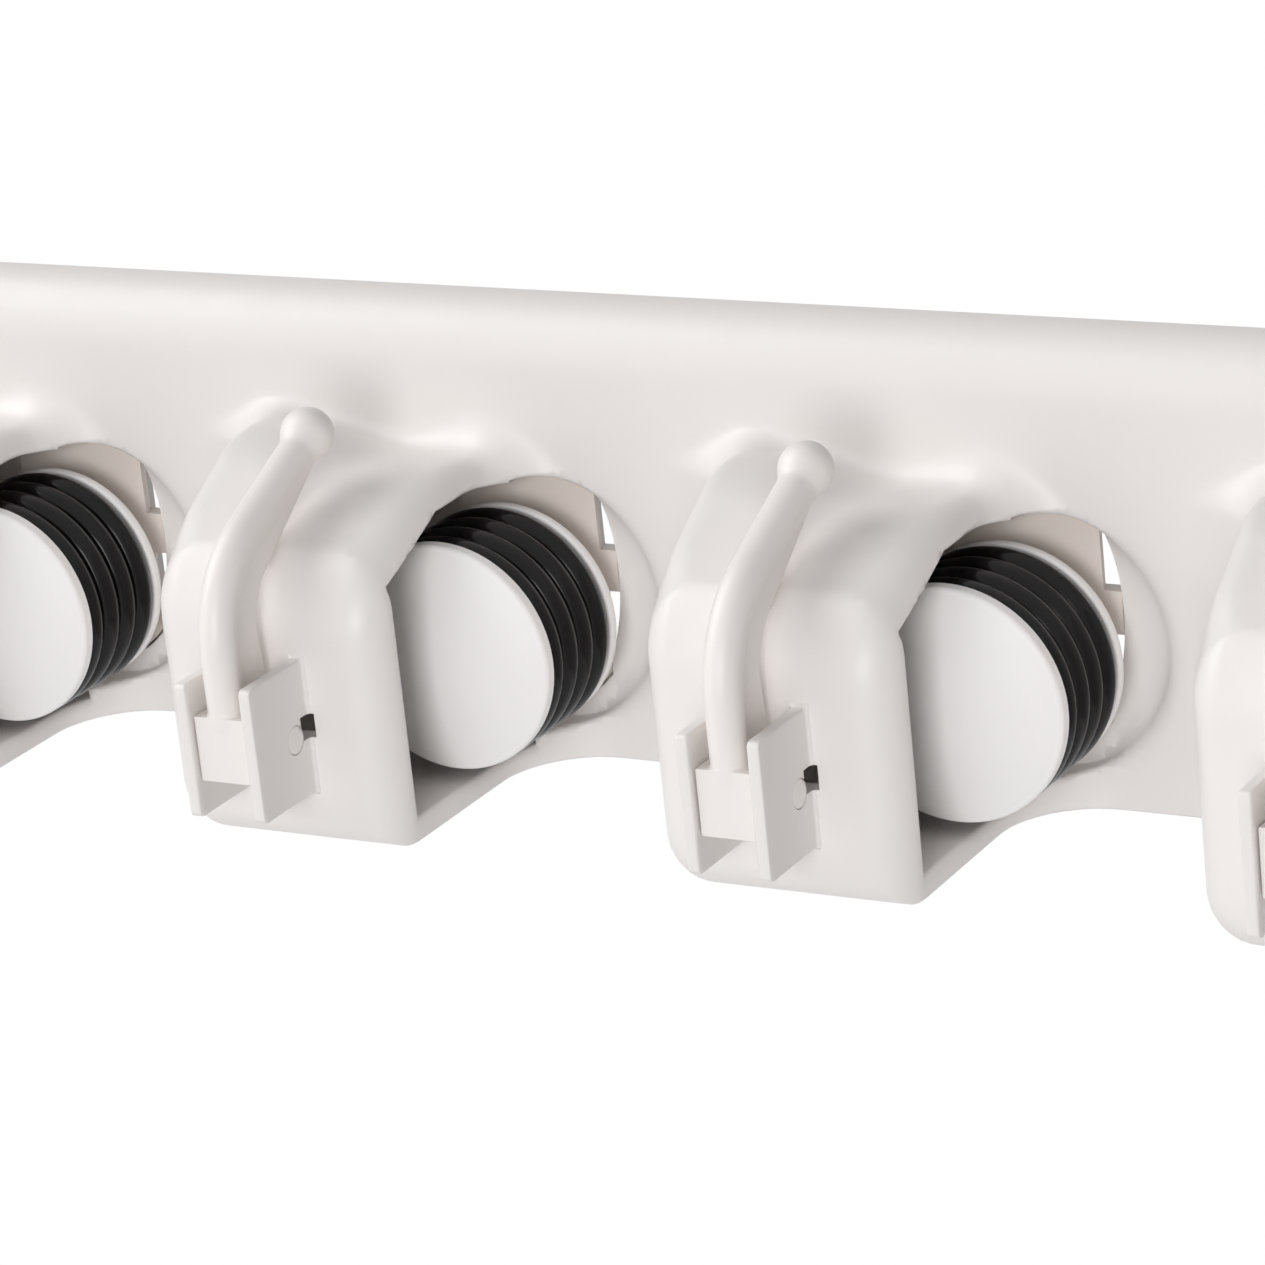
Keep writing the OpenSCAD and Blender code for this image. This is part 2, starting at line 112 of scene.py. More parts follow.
class RackRailSizes(bpy.types.PropertyGroup):
    """Sizes of the moulded rail and its prongs."""
    pitch: length("Pitch", "Distance from one prong to the next", SPAN)
    rail_h: length("Rail height", "Height of the rail", RAIL_HIGH[2] - RAIL_LOW[2])
    end_x: length("Half length", "From the middle to an end of the rail", RAIL_HIGH[0])
    plate_d: length("Plate depth", "From the wall to the plate's front", 9)
    skin: length("Skin", "Thickness of the plate's skin and rims", 2.4)
    top_r: length("Top round", "Rounding of the plate's top into the wall", 9)
    prong_w: length("Prong width", "Width across a prong's front", 36)
    prong_d: length("Prong depth", "From the wall to a prong's front", 49)
    wall: length("Prong wall", "Wall thickness of a prong", 2)
    floor: length("Prong floor", "Thickness of a prong's bottom", 3.4)
    prong_h: length("Prong height", "Height of the roof's front edge", 38.3)
    valley_h: length("Valley height", "Height at which the roof's back meets the plate", 47.2)
    valley_fall: length("Valley fall", "How much lower the valley lies on the right", 2.9)
    roof_slope: angle("Roof slope", "Slope of the roof", 24.3)
    draft: angle("Draft", "Draft of a prong's left side", 4.5)
    brow_r: length("Brow", "Rounding from the front to the roof", 7.5)
    ridge_r: length("Ridge", "Rounding of the roof's left side", 3.6)
    shoulder_r: length("Shoulder", "Rounding of the roof's right side", 5.4)
    corner_r: length("Corner", "Rounding of the left front corner", 4.6)
    lip_r: length("Lip corner", "Rounding of the right front corner", 5.6)
    foot_r: length("Foot", "Rounding of the lower left corner", 7)
    left_r: length("Left hollow", "Radius from a prong's left side to the plate", 14)
    right_r: length("Right hollow", "Radius from a prong's right side to the plate", 12)
    bay_r: length("Pocket radius", "Radius of the pocket behind a roller", 18.3)
    bay_x: length("Pocket offset", "Pocket's centre from the prong's middle", 20)
    bay_h: length("Pocket height", "Height of the pocket's centre", 23.2)
    lip_w: length("Lip", "Side wall left in front of the opening", 5.8)
    lip_drop: length("Lip drop", "Side wall left under the roof", 4.6)
    track_t: length("Track", "Thickness of the pocket's floor", 2.4)


class RackHookSizes(bpy.types.PropertyGroup):
    """Sizes of a folding hook and its bracket."""
    reach: length("Rod reach", "Rod's axis in front of the pivot", 6.5)
    rise: length("Rod rise", "Height of the bend's corner over the pivot", 24.1)
    run: length("Rod run", "From the bend's corner to the ball", 29.4)
    bend_r: length("Bend", "Bend radius of the rod", 15)
    rod_d: length("Rod", "Diameter of the rod", 5)
    ball_d: length("Ball", "Diameter of the ball at the tip", 7.4)
    web_t: length("Web", "Thickness of the web behind the rod", 2.6)
    web_gap: length("Web gap", "Gap from the web to the prong", 0.8)
    block_w: length("Block", "Width of the base block", 8)
    trunnion_d: length("Trunnion", "Diameter of the pivot's trunnions", 4)
    cheek_t: length("Cheek", "Thickness of a bracket's cheek", 1.8)


class RackTrackSizes(bpy.types.PropertyGroup):
    """Sizes of a slider, its sloping track and its keeper."""
    slant: angle("Track slant", "Slope of the track", 25)
    travel: length("Travel", "How far a slider runs", 10)
    left: length("Slider left", "From the axle to the slider's left end", 10)
    right: length("Slider right", "From the axle to the slider's right edge", 11.5)
    down: length("Slider down", "From the axle to the slider's lower edge", 9)
    up: length("Slider up", "From the axle to the slider's upper edge", 24)
    corner_r: length("Slider corner", "Rounding of the lower right corner about the axle", 15)
    front: length("Slider front", "From the wall to the slider's front", 6.4)
    flange_front: length("Flange front", "From the wall to the front of the slider's flange", 4.1)
    flange_t: length("Flange", "Thickness of the slider's flange", 1.9)
    flange_short: length("Flange end", "How far the flange stops short of the right edge", 2.5)
    lap: length("Lap", "Lap of the flange behind the track", 2)
    sliver: length("Sliver", "Widest gap at the window's bowed end", 2.8)
    bow_h: length("Bow", "Half height of the window's bowed end", 13.5)
    stop_h: length("Stop", "Height of the slider's stop", 6)
    stop_up: length("Stop height", "From the axle up to the stop", 5.2)
    boss_d: length("Axle boss", "Diameter of the boss round the axle's foot", 14)
    boss_front: length("Boss front", "From the wall to the boss's front", 10.85)
    axle_d: length("Axle", "Diameter of the axle", 8)
    axle_front: length("Axle front", "From the wall to the axle's end", 23.3)
    pilot_d: length("Pilot", "Hole for the axle screw", 3.1)
    keeper_front: length("Keeper front", "From the wall to the keeper's front", 2.1)
    keeper_t: length("Keeper", "Thickness of a keeper", 1.5)
    border: length("Border", "Width of the keeper's border", 2.4)
    stud_d: length("Stud", "Diameter of the keeper's studs", 2)
    play: length("Play", "Play of the slider in its track", 0.2)


class RackRollerSizes(bpy.types.PropertyGroup):
    """Sizes of a roller with its rubber rings and cap."""
    radius: length("Radius", "Radius over the rubber rings", 16.2)
    ring_d: length("Ring", "Thickness of a rubber ring", 4)
    back: length("Back", "From the wall to the roller's back", 11)
    flange: length("Flange", "Thickness of the rear flange", 1.8)
    cap_rim: length("Cap rim", "Height of the cap's straight rim", 1.6)
    cap_rise: length("Cap rise", "Rise of the cap's dome", 3.6)
    axle_d: length("Axle", "Diameter of the axle", 8)


class RackColours(bpy.types.PropertyGroup):
    """Colours of the rack's materials."""
    rail: tint("Rail", "Moulded off-white plastic", (0.862, 0.826, 0.806))
    hook: tint("Hook", "Moulded cream plastic", (0.90, 0.855, 0.825))
    slider: tint("Slider", "Natural acetal", (0.80, 0.73, 0.68))
    cap: tint("Cap", "Moulded grey-white plastic", (0.93, 0.91, 0.90))
    rubber: tint("Rubber", "Black rubber", (0.005, 0.0045, 0.005))
    steel: tint("Steel", "Zinc-plated steel", (0.62, 0.63, 0.65))
    floor: tint("Floor", "Plain pale floor", (0.8, 0.8, 0.8))


def sizes(group):
    """The group's lengths in millimetres and its angles in radians, by name."""
    keys = [k for k in group.bl_rna.properties.keys() if k not in ("rna_type", "name")]
    angles = {k for k in keys if group.bl_rna.properties[k].unit == "ROTATION"}
    return type("Sizes", (), {k: getattr(group, k) / (1 if k in angles else MM) for k in keys})


# Distance fields

def step(t, low, high):
    """Smooth step: 0 up to low, 1 from high, 3s^2 - 2s^3 between them."""
    s = np.clip((t - low) / (high - low), 0, 1)
    return s * s * (3 - 2 * s)


def share(*fields):
    """What several solids share, with sharp edges: the greatest of their fields."""
    return np.maximum.reduce(fields)


def meet(r, *fields):
    """What several solids share, with its outer edges rounded by r: the length of the parts over -r."""
    over = np.sqrt(sum(np.maximum(f + r, 0) ** 2 for f in fields))
    return np.minimum(share(*fields), -r) + over


def join(r, a, b):
    """Two solids together, with the hollow corner between them filled to radius r."""
    under = np.hypot(np.maximum(r - a, 0), np.maximum(r - b, 0))
    return np.maximum(np.minimum(a, b), r) - under


def cut(solid, *holes):
    """A solid with holes taken out of it."""
    return share(solid, *[-h for h in holes])


def slope_of(field, q, e=0.004):
    """Direction in which a field grows at points q, from differences over 2e."""
    g = np.stack([field(q + e * a) - field(q - e * a) for a in np.eye(3)], axis=1)
    return g / np.maximum(np.linalg.norm(g, axis=1, keepdims=True), 1e-12)


def crossings(field, a, b, fa, fb):
    """Points on the edges a-b where a field is zero, by eight halvings and a last straight line."""
    for _ in range(8):
        m = (a + b) / 2
        fm = field(m)
        low = ((fm < 0) == (fa < 0))[:, None]
        a, b = np.where(low, m, a), np.where(low, b, m)
        fa, fb = np.where(low[:, 0], fm, fa), np.where(low[:, 0], fb, fm)
    t = fa / np.where(fa == fb, 1, fa - fb)
    return a + t[:, None] * (b - a)


def contour(field, lines, pull=0.005, slack=0.3, close=0.01, stride=0.5):
    """Quads on the zero level of a field, with its sharp edges kept (dual contouring).

    Each grid cell that the level crosses gets one corner point: the point nearest to all the tangent
    planes at the crossings of the cell's edges, held to their mean by pull and to its cell with some slack.
    Where it is not close to the level it is then set on it, by strides of limited length. Each crossed grid
    edge gives one quad between the four cells round it.
    """
    n = [len(v) for v in lines]
    grid = np.stack(np.meshgrid(*lines, indexing="ij"), axis=-1)
    value = field(grid.reshape(-1, 3)).reshape(n)
    inside = value < 0
    points, normals, cells = [], [], []
    strides = np.array([(n[1] - 1) * (n[2] - 1), n[2] - 1, 1])
    for axis in range(3):
        lo = tuple(slice(None, -1) if k == axis else slice(None) for k in range(3))
        hi = tuple(slice(1, None) if k == axis else slice(None) for k in range(3))
        at = np.argwhere(inside[lo] != inside[hi])
        to = at + np.eye(3, dtype=int)[axis]
        fa, fb = value[tuple(at.T)], value[tuple(to.T)]
        where = crossings(field, grid[tuple(at.T)], grid[tuple(to.T)], fa, fb)
        u, v = np.eye(3, dtype=int)[(axis + 1) % 3], np.eye(3, dtype=int)[(axis + 2) % 3]
        ring = np.stack(
            [(at - u - v) @ strides, (at - v) @ strides, at @ strides, (at - u) @ strides], axis=1)
        points.append(where)
        normals.append(slope_of(field, where))
        cells.append(np.where((fa < 0)[:, None], ring, ring[:, ::-1]))
    points, normals, cells = (np.concatenate(v) for v in (points, normals, cells))
    used, quad = np.unique(cells, return_inverse=True)
    quad = quad.reshape(-1, 4)
    total = lambda w: np.bincount(quad.ravel(), np.repeat(w, 4), len(used))
    count = total(np.ones(len(points)))
    middle = np.stack([total(points[:, k]) for k in range(3)], axis=1) / count[:, None]
    lean = np.sum(normals * points, axis=1)
    a = np.empty((len(used), 3, 3))
    rhs = np.empty((len(used), 3))
    for i in range(3):
        for j in range(3):
            a[:, i, j] = total(normals[:, i] * normals[:, j]) + (pull * count if i == j else 0)
        rhs[:, i] = total(normals[:, i] * lean)
    rhs += pull * count[:, None] * middle
    corner = np.linalg.solve(a, rhs[:, :, None])[:, :, 0]
    cell = np.stack(np.unravel_index(used, [k - 1 for k in n]), axis=1)
    low = np.stack([lines[k][cell[:, k]] for k in range(3)], axis=1)
    high = np.stack([lines[k][cell[:, k] + 1] for k in range(3)], axis=1)
    room = slack * (high - low)
    corner = np.clip(corner, low - room, high + room)
    for _ in range(2):
        off = field(corner)
        move = np.where(np.abs(off) > close, np.clip(off, -stride, stride), 0)
        corner -= move[:, None] * slope_of(field, corner)
    return corner, quad


def field_mesh(field, lines):
    """Points and quads on the zero level of a field, and the normal at each quad's corners."""
    corner, quad = contour(field, lines)
    return corner, quad, corner_normals(field, corner, quad)


def corner_normals(field, corner, quad, inset=0.3, crease=14):
    """Normal at each quad's corners: the field's slope there or, where that turns more than the crease angle
    on the way to the quad's middle, the slope on the way, so that each side of a sharp edge keeps its own."""
    at = corner[quad]
    here = slope_of(field, corner)[quad].reshape(-1, 3)
    inner = slope_of(field, (at + inset * (at.mean(axis=1, keepdims=True) - at)).reshape(-1, 3))
    same = np.sum(here * inner, axis=1, keepdims=True) > math.cos(math.radians(crease))
    return np.where(same, here, inner)


def spread(low, high, gap, *fine, samples=4001):
    """Grid lines from low to high about gap apart, and closer in the ranges of fine (from, to, gap)."""
    t = np.linspace(low, high, samples)
    near = [np.where((t > a) & (t < b), 1 / g, 0) for a, b, g in fine]
    density = np.maximum.reduce([np.full_like(t, 1 / gap)] + near)
    run = np.concatenate([[0], np.cumsum((density[1:] + density[:-1]) / 2 * np.diff(t))])
    return np.interp(np.linspace(0, run[-1], int(np.ceil(run[-1])) + 1), run, t)


# How the rail's faces run into each other, in millimetres. Ranges are of p, the place across a prong from
# its middle, unless they say depth or height.
FAR = 1e3  # a field's value where it takes no part
OVERLAP = 0.2  # how far a cut runs past a face
SEAM = 0.47  # a prong's share of the rail begins this many pitches left of its middle
VALLEY_FALLS = (-14, 2)  # the valley behind the roof falls to the right here
VALLEY_LIFT, VALLEY_LIFTS = 3, (17, 25)  # it is lifted left of the middle
VALLEY_SLOPES = (0.25, 0.12)  # its slope towards the front, left and right
ROOF_R = 5  # rounding from the roof into the valley
ROOF_EXTRA = 0.2  # how much thicker the roof is than the walls
RIDGE_TURNS = (-4, 6)  # the ridge's rounding becomes the shoulder's here
BROW_TURNS = (13, 1)  # depths behind the front where the roof's edge becomes the brow
HOLLOW_R, END_HOLLOW_R = 2.4, 0.6  # least hollow radius from a prong to the plate, and at the rail's ends
END_SIDE = 12  # an end's hollow lies beyond this
LEFT_GROWS, LEFT_FADES = (14, 20), (43, 52)  # where the left hollow grows; heights where it fades
RIGHT_GROWS, RIGHT_FADES = (11, 18), (36, 48)  # the same for the right hollow
VALLEY_HOLLOW, VALLEY_GROWS = 4, (0, 14)  # hollow radius added above it, and where that grows
END_R, RIM_R = 3, 0.8  # rounding of the rail's ends and of rims
INNER_R = 0.3  # how much rounder a prong's hollow is than an even wall asks
BOWL_R = 0.3  # rounding of the pocket's edge in the plate
BOWL_ROUND, BOWL_ROUNDS = 2, (26, 31)  # more rounding of it on the right
BOWL_FLARE, BOWL_FLARES = 0.6, (27, 33)  # how the pocket's wall leans out on the right
BAY_LEFT, BAY_FRONT = 18.9, 22  # left end of the pocket before the plate; depth of its front
OPENING_IN, OPENING_OUT = 0.6, 1.4  # how far the opening is cut past the side wall's faces
OPENING_H = 41.2  # height of its top at the plate
OPENING_LIFT, OPENING_LIFTS = 1.2, (12, 23)  # how much higher it is in front; between which depths
CORE_SIDES = (3.2, 6.9)  # core holes behind the bracket, left and right of the middle
CORE_H, CORE_HALF, CORE_D = 17.9, 1.7, 44  # height of their middle, half their height, depth of their back
SCREW_BAYS, SCREW_R = 2, 2.5  # pitches from the middle to a wall screw; radius of its hole
SINK_DEPTH, SINK_WIDTH = 2.2, 2.4  # depth of its countersink; how much wider that is at most
BOSS_R, BOSS_BACK = 6, 0.3  # radius of its boss; how far that ends behind the plate's front


def rail_field(q, s, t):
    """Field of the moulded rail: plate, prongs, roller pockets, tracks and screw bosses.

    x runs along the rail, d out from the wall and h up from the bottom edge. p is x from the middle of
    the nearest prong. A prong is what its two side walls and its roof share; it runs into the plate with
    hollow radii that fade with height. The hollow, the wall cavity, the pocket with its bowl, the core
    holes behind the bracket and the screw holes are cut out.
    """
    x, d, h = q[:, 0], -q[:, 1], q[:, 2] - RAIL_LOW[2]
    middle = (PRONGS + 1) / 2
    i = np.clip(np.floor(x / s.pitch + middle + SEAM), 1, PRONGS)
    p = x - (i - middle) * s.pitch
    first, last = i == 1, i == PRONGS
    back, half = s.prong_d - d, s.prong_w / 2
    lean, tilt = math.tan(s.draft), math.tan(s.roof_slope)

    left = -(p + half + back * lean) * math.cos(s.draft)
    right = np.where(last, (p - half - back * lean) * math.cos(s.draft), p - half)
    front = d - s.prong_d
    g = np.where(last, -np.abs(p), p)
    low = step(g, *VALLEY_FALLS)
    valley = s.valley_h - s.valley_fall * low + VALLEY_LIFT * step(-g, *VALLEY_LIFTS)
    rise = VALLEY_SLOPES[0] + (VALLEY_SLOPES[1] - VALLEY_SLOPES[0]) * low
    top = h - valley - (d - s.plate_d) * rise
    slope = (h - s.prong_h - back * tilt) * math.cos(s.roof_slope)
    roof = meet(ROOF_R, slope, top)
    left_wall = meet(s.corner_r, meet(s.foot_r, left, -h), front)
    right_wall = meet(np.where(last, s.corner_r, s.lip_r), right, front)
    ridge = s.ridge_r + (s.shoulder_r - s.ridge_r) * step(g, *RIDGE_TURNS)
    brow = step(d, s.prong_d - BROW_TURNS[0], s.prong_d - BROW_TURNS[1])
    edge = ridge + (s.brow_r - ridge) * brow
    prong = meet(edge, np.maximum(left_wall, right_wall), roof)

    plate = meet(s.top_r, d - s.plate_d, h - s.rail_h)
    closed = first | (last & (p > 0))
    to_left = (s.left_r - HOLLOW_R) * step(-g, *LEFT_GROWS) * (1 - step(h, *LEFT_FADES)) * ~closed
    to_right = (s.right_r - HOLLOW_R) * step(g, *RIGHT_GROWS) * (1 - step(h, *RIGHT_FADES))
    above = HOLLOW_R + VALLEY_HOLLOW * step(g, *VALLEY_GROWS) * step(h, *RIGHT_FADES)
    at_end = (first & (p < -END_SIDE)) | (last & (p > END_SIDE))
    hollow_r = np.where(at_end, END_HOLLOW_R, above)
    outer = join(hollow_r + to_left + to_right, prong, plate)
    ends = np.abs(x) - s.end_x
    rim = np.maximum(meet(END_R, ends, h - s.rail_h - RIM_R), meet(END_R, ends, -h))
    outer = np.maximum(meet(RIM_R, outer, rim), -d)

    under = meet(s.foot_r - s.wall, left + s.wall, s.floor - h)
    inner = np.maximum(
        meet(s.corner_r - s.wall, under, front + s.wall),
        meet(s.lip_r - s.wall, right + s.wall, front + s.wall),
    )
    vault = meet(edge - s.wall + INNER_R, inner, roof + s.wall + ROOF_EXTRA)
    hollow = np.maximum(vault, s.floor - h)
    track_d = s.plate_d - s.skin
    cavity = share(
        meet(s.top_r - s.skin, d - track_d, h - s.rail_h + s.skin), ends + s.skin, s.skin - h)
    round_bay = np.hypot(p - s.bay_x, h - s.bay_h) - s.bay_r
    flared = round_bay * (1 - BOWL_FLARE * step(p, *BOWL_FLARES))
    bowl = meet(BOWL_R + BOWL_ROUND * step(p, *BOWL_ROUNDS), flared, track_d - d)
    pocket = np.minimum(
        np.maximum(bowl, d - s.plate_d - OVERLAP),
        share(round_bay, BAY_LEFT - p, d - BAY_FRONT, s.plate_d - d),
    )
    opening = share(
        half - s.wall - OPENING_IN - p, p - half - OPENING_OUT, d - s.prong_d + s.lip_w, s.plate_d - d,
        s.floor - h, h - OPENING_H - OPENING_LIFT * step(d, *OPENING_LIFTS),
        slope + s.lip_drop * math.cos(s.roof_slope),
    )
    bay = np.where(last, FAR, np.minimum(pocket, opening))
    core = share(
        CORE_SIDES[0] - np.abs(p), np.abs(p) - CORE_SIDES[1], np.abs(h - CORE_H) - CORE_HALF, CORE_D - d)
    solid = cut(meet(RIM_R, outer, -bay), hollow, cavity, core)

    track = share(
        left + s.wall / 2, p - s.bay_x - s.bay_r - s.skin, s.floor / 2 - h,
        h - s.rail_h + s.top_r - s.skin / 2, track_d - s.track_t - d, d - track_d - 2 * OVERLAP,
    )
    window, ribs = track_fields(p, d, h, t)
    solid = np.minimum(solid, np.where(last, FAR, np.minimum(cut(track, window, pocket), ribs)))
    screw = np.hypot(np.abs(x) - SCREW_BAYS * s.pitch, h + RAIL_LOW[2])
    boss = share(screw - BOSS_R, -d, d - s.plate_d + BOSS_BACK)
    sink = np.clip(d - s.plate_d + SINK_DEPTH, 0, SINK_WIDTH)
    return cut(np.minimum(solid, boss), screw - SCREW_R - sink)


# Small sizes of the slider, its track and its keeper, in millimetres
KEEPER_LOW = 2.6  # lowest edge of a keeper over the rail's bottom edge
RIB_SEAT = 0.5  # how far the rib reaches past the flange's front, into the track
PLATE_SEAT = 0.3  # how far the slider's plate is sunk into its flange
EDGE_LEAN, EDGE_STRAIGHT = 0.6, 0.8  # lean of the slider's right edge behind its straight part
STOP_ROOT = 3  # how far the stop reaches back into the slider
FOOT_SEAT = 1  # how far boss and axle are sunk into the slider
AXLE_R, PILOT_DEPTH = 0.3, 9.2  # rounding of the axle's end; depth of the hole for its screw
STUD_PLAY, STUD_R = 0.05, 0.25  # play round a stud; rounding of its head
STUD_SUNK, STUD_SEAT = 0.15, 0.2  # how far it stays inside the keeper's back and reaches into the rib


def track_slot(u, v, t, left, right, down, up):
    """Field of a slanted slot with upright ends, about the axle's place at rest."""
    along = v + u * math.tan(t.slant)
    return share(
        -left - u, u - right, (-down - along) * math.cos(t.slant), (along - up) * math.cos(t.slant))


def track_corner(u, v, r):
    """Field that rounds the lower right corner of a slider or window about the axle."""
    return np.where((u > 0) & (v < 0), np.hypot(u, v) - r, -FAR)


def track_run(t):
    """How far a window reaches left of the axle's place at rest: the slider's left end, its travel, play."""
    return t.left + t.travel * math.cos(t.slant) + 4 * t.play


def keeper_outline(u, v, t):
    """Field of a keeper's outline, which is also that of the rib round the slider's flange."""
    lap = (t.lap + t.play + t.border) / math.cos(t.slant)
    low = RAIL_LOW[2] - AXLES[0][2] + KEEPER_LOW
    outline = track_slot(
        u, v, t, track_run(t) + t.border, t.right + t.sliver + t.border, t.down + lap, t.up + lap)
    return np.maximum(outline, low - v)


def track_fields(p, d, h, t):
    """Window that a slider runs in, with a bowed right end, and the rib behind it for its keeper."""
    u, v = p - (AXLES[0][0] - PIVOTS[0][0]), h - (AXLES[0][2] - RAIL_LOW[2])
    run = track_run(t)
    bow_r = (t.bow_h ** 2 + t.sliver ** 2) / (2 * t.sliver)
    bow = np.hypot(u - t.right - t.sliver + bow_r, v - t.stop_up) - bow_r
    window = share(
        track_slot(u, v, t, run, t.right + 2 * t.sliver, t.down + t.play, t.up + t.play),
        np.minimum(u - t.right - t.play, bow), track_corner(u, v, t.corner_r + 2 * t.play))
    lap = (t.lap + t.play) / math.cos(t.slant)
    room = track_slot(u, v, t, run, t.right + t.sliver, t.down + lap, t.up + lap)
    rib = share(
        cut(keeper_outline(u, v, t), room), t.keeper_front - d, d - t.flange_front - RIB_SEAT)
    return window, rib


def slider_field(q, t):
    """Field of a slider about its axle: plate with a stop and a right edge that leans back, flange, axle."""
    u, d, v = q[:, 0], -q[:, 1], q[:, 2]
    corner = track_corner(u, v, t.corner_r)
    depth = np.maximum(d - t.front, t.flange_front - PLATE_SEAT - d)
    lean = u - t.right + EDGE_LEAN * np.maximum(t.front - EDGE_STRAIGHT - d, 0)
    plate = share(track_slot(u, v, t, t.left, t.right, t.down, t.up), lean, corner, depth)
    stop = share(
        np.abs(v - t.stop_up) - t.stop_h / 2, u - t.right - t.sliver + t.play,
        t.right - STOP_ROOT - u, depth)
    lap = t.lap / math.cos(t.slant)
    flange = share(
        track_slot(u, v, t, t.left, t.right - t.flange_short, t.down + lap, t.up + lap),
        d - t.flange_front, t.flange_front - t.flange_t - d)
    r, foot = np.hypot(u, v), t.front - FOOT_SEAT - d
    boss = share(r - t.boss_d / 2, d - t.boss_front, foot)
    axle = meet(AXLE_R, r - t.axle_d / 2, np.maximum(d - t.axle_front, foot))
    pilot = np.maximum(r - t.pilot_d / 2, t.axle_front - PILOT_DEPTH - d)
    return cut(np.minimum.reduce([plate, stop, flange, boss, axle]), pilot)


def stud_places(t):
    """Places of a keeper's studs about the axle."""
    for u in (-track_run(t) - t.border / 2, t.right + t.sliver + t.border / 2):
        yield u, (t.up - t.down) / 2 - u * math.tan(t.slant)


def keeper_field(q, t):
    """Field of a keeper about the axle: a plate behind the track, open behind the sliver, with stud holes."""
    u, d, v = q[:, 0], -q[:, 1], q[:, 2]
    plate = share(
        keeper_outline(u, v, t), d - t.keeper_front, t.keeper_front - t.keeper_t - d)
    gap = track_slot(u, v, t, t.flange_short - t.right, t.right + t.sliver, t.down, t.up)
    holes = [np.hypot(u - a, v - b) - t.stud_d / 2 - STUD_PLAY for a, b in stud_places(t)]
    return cut(plate, gap, *holes)


# Small sizes of the hook and its bracket, in millimetres; places are from the pivot
FOOT_Z = 5.3  # height at which rod and web leave the base block
WEB_TAPER, WEB_END = 0.2, 2.6  # how fast the web narrows towards the ball; its width there
WEB_STOP, WEB_R = 0.5, 0.4  # how far before the ball's middle it ends; rounding of its edges
WEB_HOLLOW, BALL_HOLLOW, BLOCK_HOLLOW = 1.0, 0.9, 0.5  # hollow radii from the rod to web, ball and block
BLOCK_FRONT, BLOCK_TOP, BLOCK_R = 8.8, 5.8, 0.45  # reach of the block, its height, rounding of its edges
KNUCKLE_R = 3.3  # radius of the block's back about the pivot
PIN_R, BORE_PLAY = 0.3, 0.05  # rounding of the trunnions' ends; play round them
SIDE_PLAY = 0.2  # play between the block and a cheek
FACE_Y = 3.5  # the prong's face behind the pivot
FLARE_R, CHEEK_SEAT = 0.7, 0.4  # hollow radius from a cheek to that face; how far it is sunk into it
CHEEK_FRONT, CHEEK_TOP, CHEEK_LOW = 9.5, 10.4, 8.6  # reach of a cheek to the front, up and down
CHEEK_CORNER, CHEEK_EDGE = 0.8, 0.3  # rounding of its corners and edges
SLOT_FRONT, SLOT_LOW, SLOT_TOP = 1.4, 0.8, 2.6  # square slot behind the bore: its front, reach down and up


def hook_path(y, z, s, slope):
    """Distance from the rod's line in the hook's middle plane, how far along the run, and the side of it."""
    turn = s.bend_r * math.tan((math.pi / 2 - slope) / 2)
    bend_z = s.rise - turn
    cy = s.bend_r - s.reach
    ty, tz = turn * math.cos(slope) - s.reach, s.rise + turn * math.sin(slope)
    along = (y - ty) * math.cos(slope) + (z - tz) * math.sin(slope)
    over = (z - tz) * math.cos(slope) - (y - ty) * math.sin(slope)
    bearing = np.arctan2(z - bend_z, cy - y)
    on_run, on_post = bearing > math.pi / 2 - slope, z < bend_z
    ring = np.hypot(y - cy, z - bend_z) - s.bend_r
    side = np.where(on_post, -s.reach - y, np.where(on_run, over, ring))
    end = np.clip(along - (s.run - turn), 0, None)
    foot = np.clip(FOOT_Z - z, 0, None)
    return np.hypot(side, np.where(on_run, end, np.where(on_post, foot, 0))), along - (s.run - turn), side


def hook_field(q, s, rail):
    """Field of a hook about its pivot: rod with a ball and a web that follows the prong, base block,
    knuckle and trunnions."""
    x, y, z = q[:, 0], q[:, 1], q[:, 2]
    far, beyond, side = hook_path(y, z, s, rail.roof_slope)
    rod = np.hypot(x, far) - s.rod_d / 2
    tip_y = s.run * math.cos(rail.roof_slope) - s.reach
    tip_z = s.rise + s.run * math.sin(rail.roof_slope)
    ball = np.sqrt(x ** 2 + (y - tip_y) ** 2 + (z - tip_z) ** 2) - s.ball_d / 2
    d, h = -(y + PIVOTS[0][1]), z + PIVOTS[0][2] - RAIL_LOW[2]
    slope = (h - rail.prong_h - (rail.prong_d - d) * math.tan(rail.roof_slope)) * math.cos(rail.roof_slope)
    prong = meet(rail.brow_r, d - rail.prong_d, slope)
    taper = WEB_TAPER * beyond - side - WEB_END
    web = meet(WEB_R, np.abs(x) - s.web_t / 2, s.web_gap - prong, taper, side, beyond + WEB_STOP, FOOT_Z - z)
    square = share(-BLOCK_FRONT - y, y - KNUCKLE_R, -KNUCKLE_R - z, z - BLOCK_TOP)
    knuckle = np.where((y > 0) & (z < 0), np.hypot(y, z) - KNUCKLE_R, square)
    block = meet(BLOCK_R, np.abs(x) - s.block_w / 2, knuckle)
    pin_end = np.abs(x) - s.block_w / 2 - SIDE_PLAY - s.cheek_t
    pin = meet(PIN_R, pin_end, np.hypot(y, z) - s.trunnion_d / 2)
    rod = join(BALL_HOLLOW, join(WEB_HOLLOW, rod, web), ball)
    return np.minimum(join(BLOCK_HOLLOW, rod, block), pin)


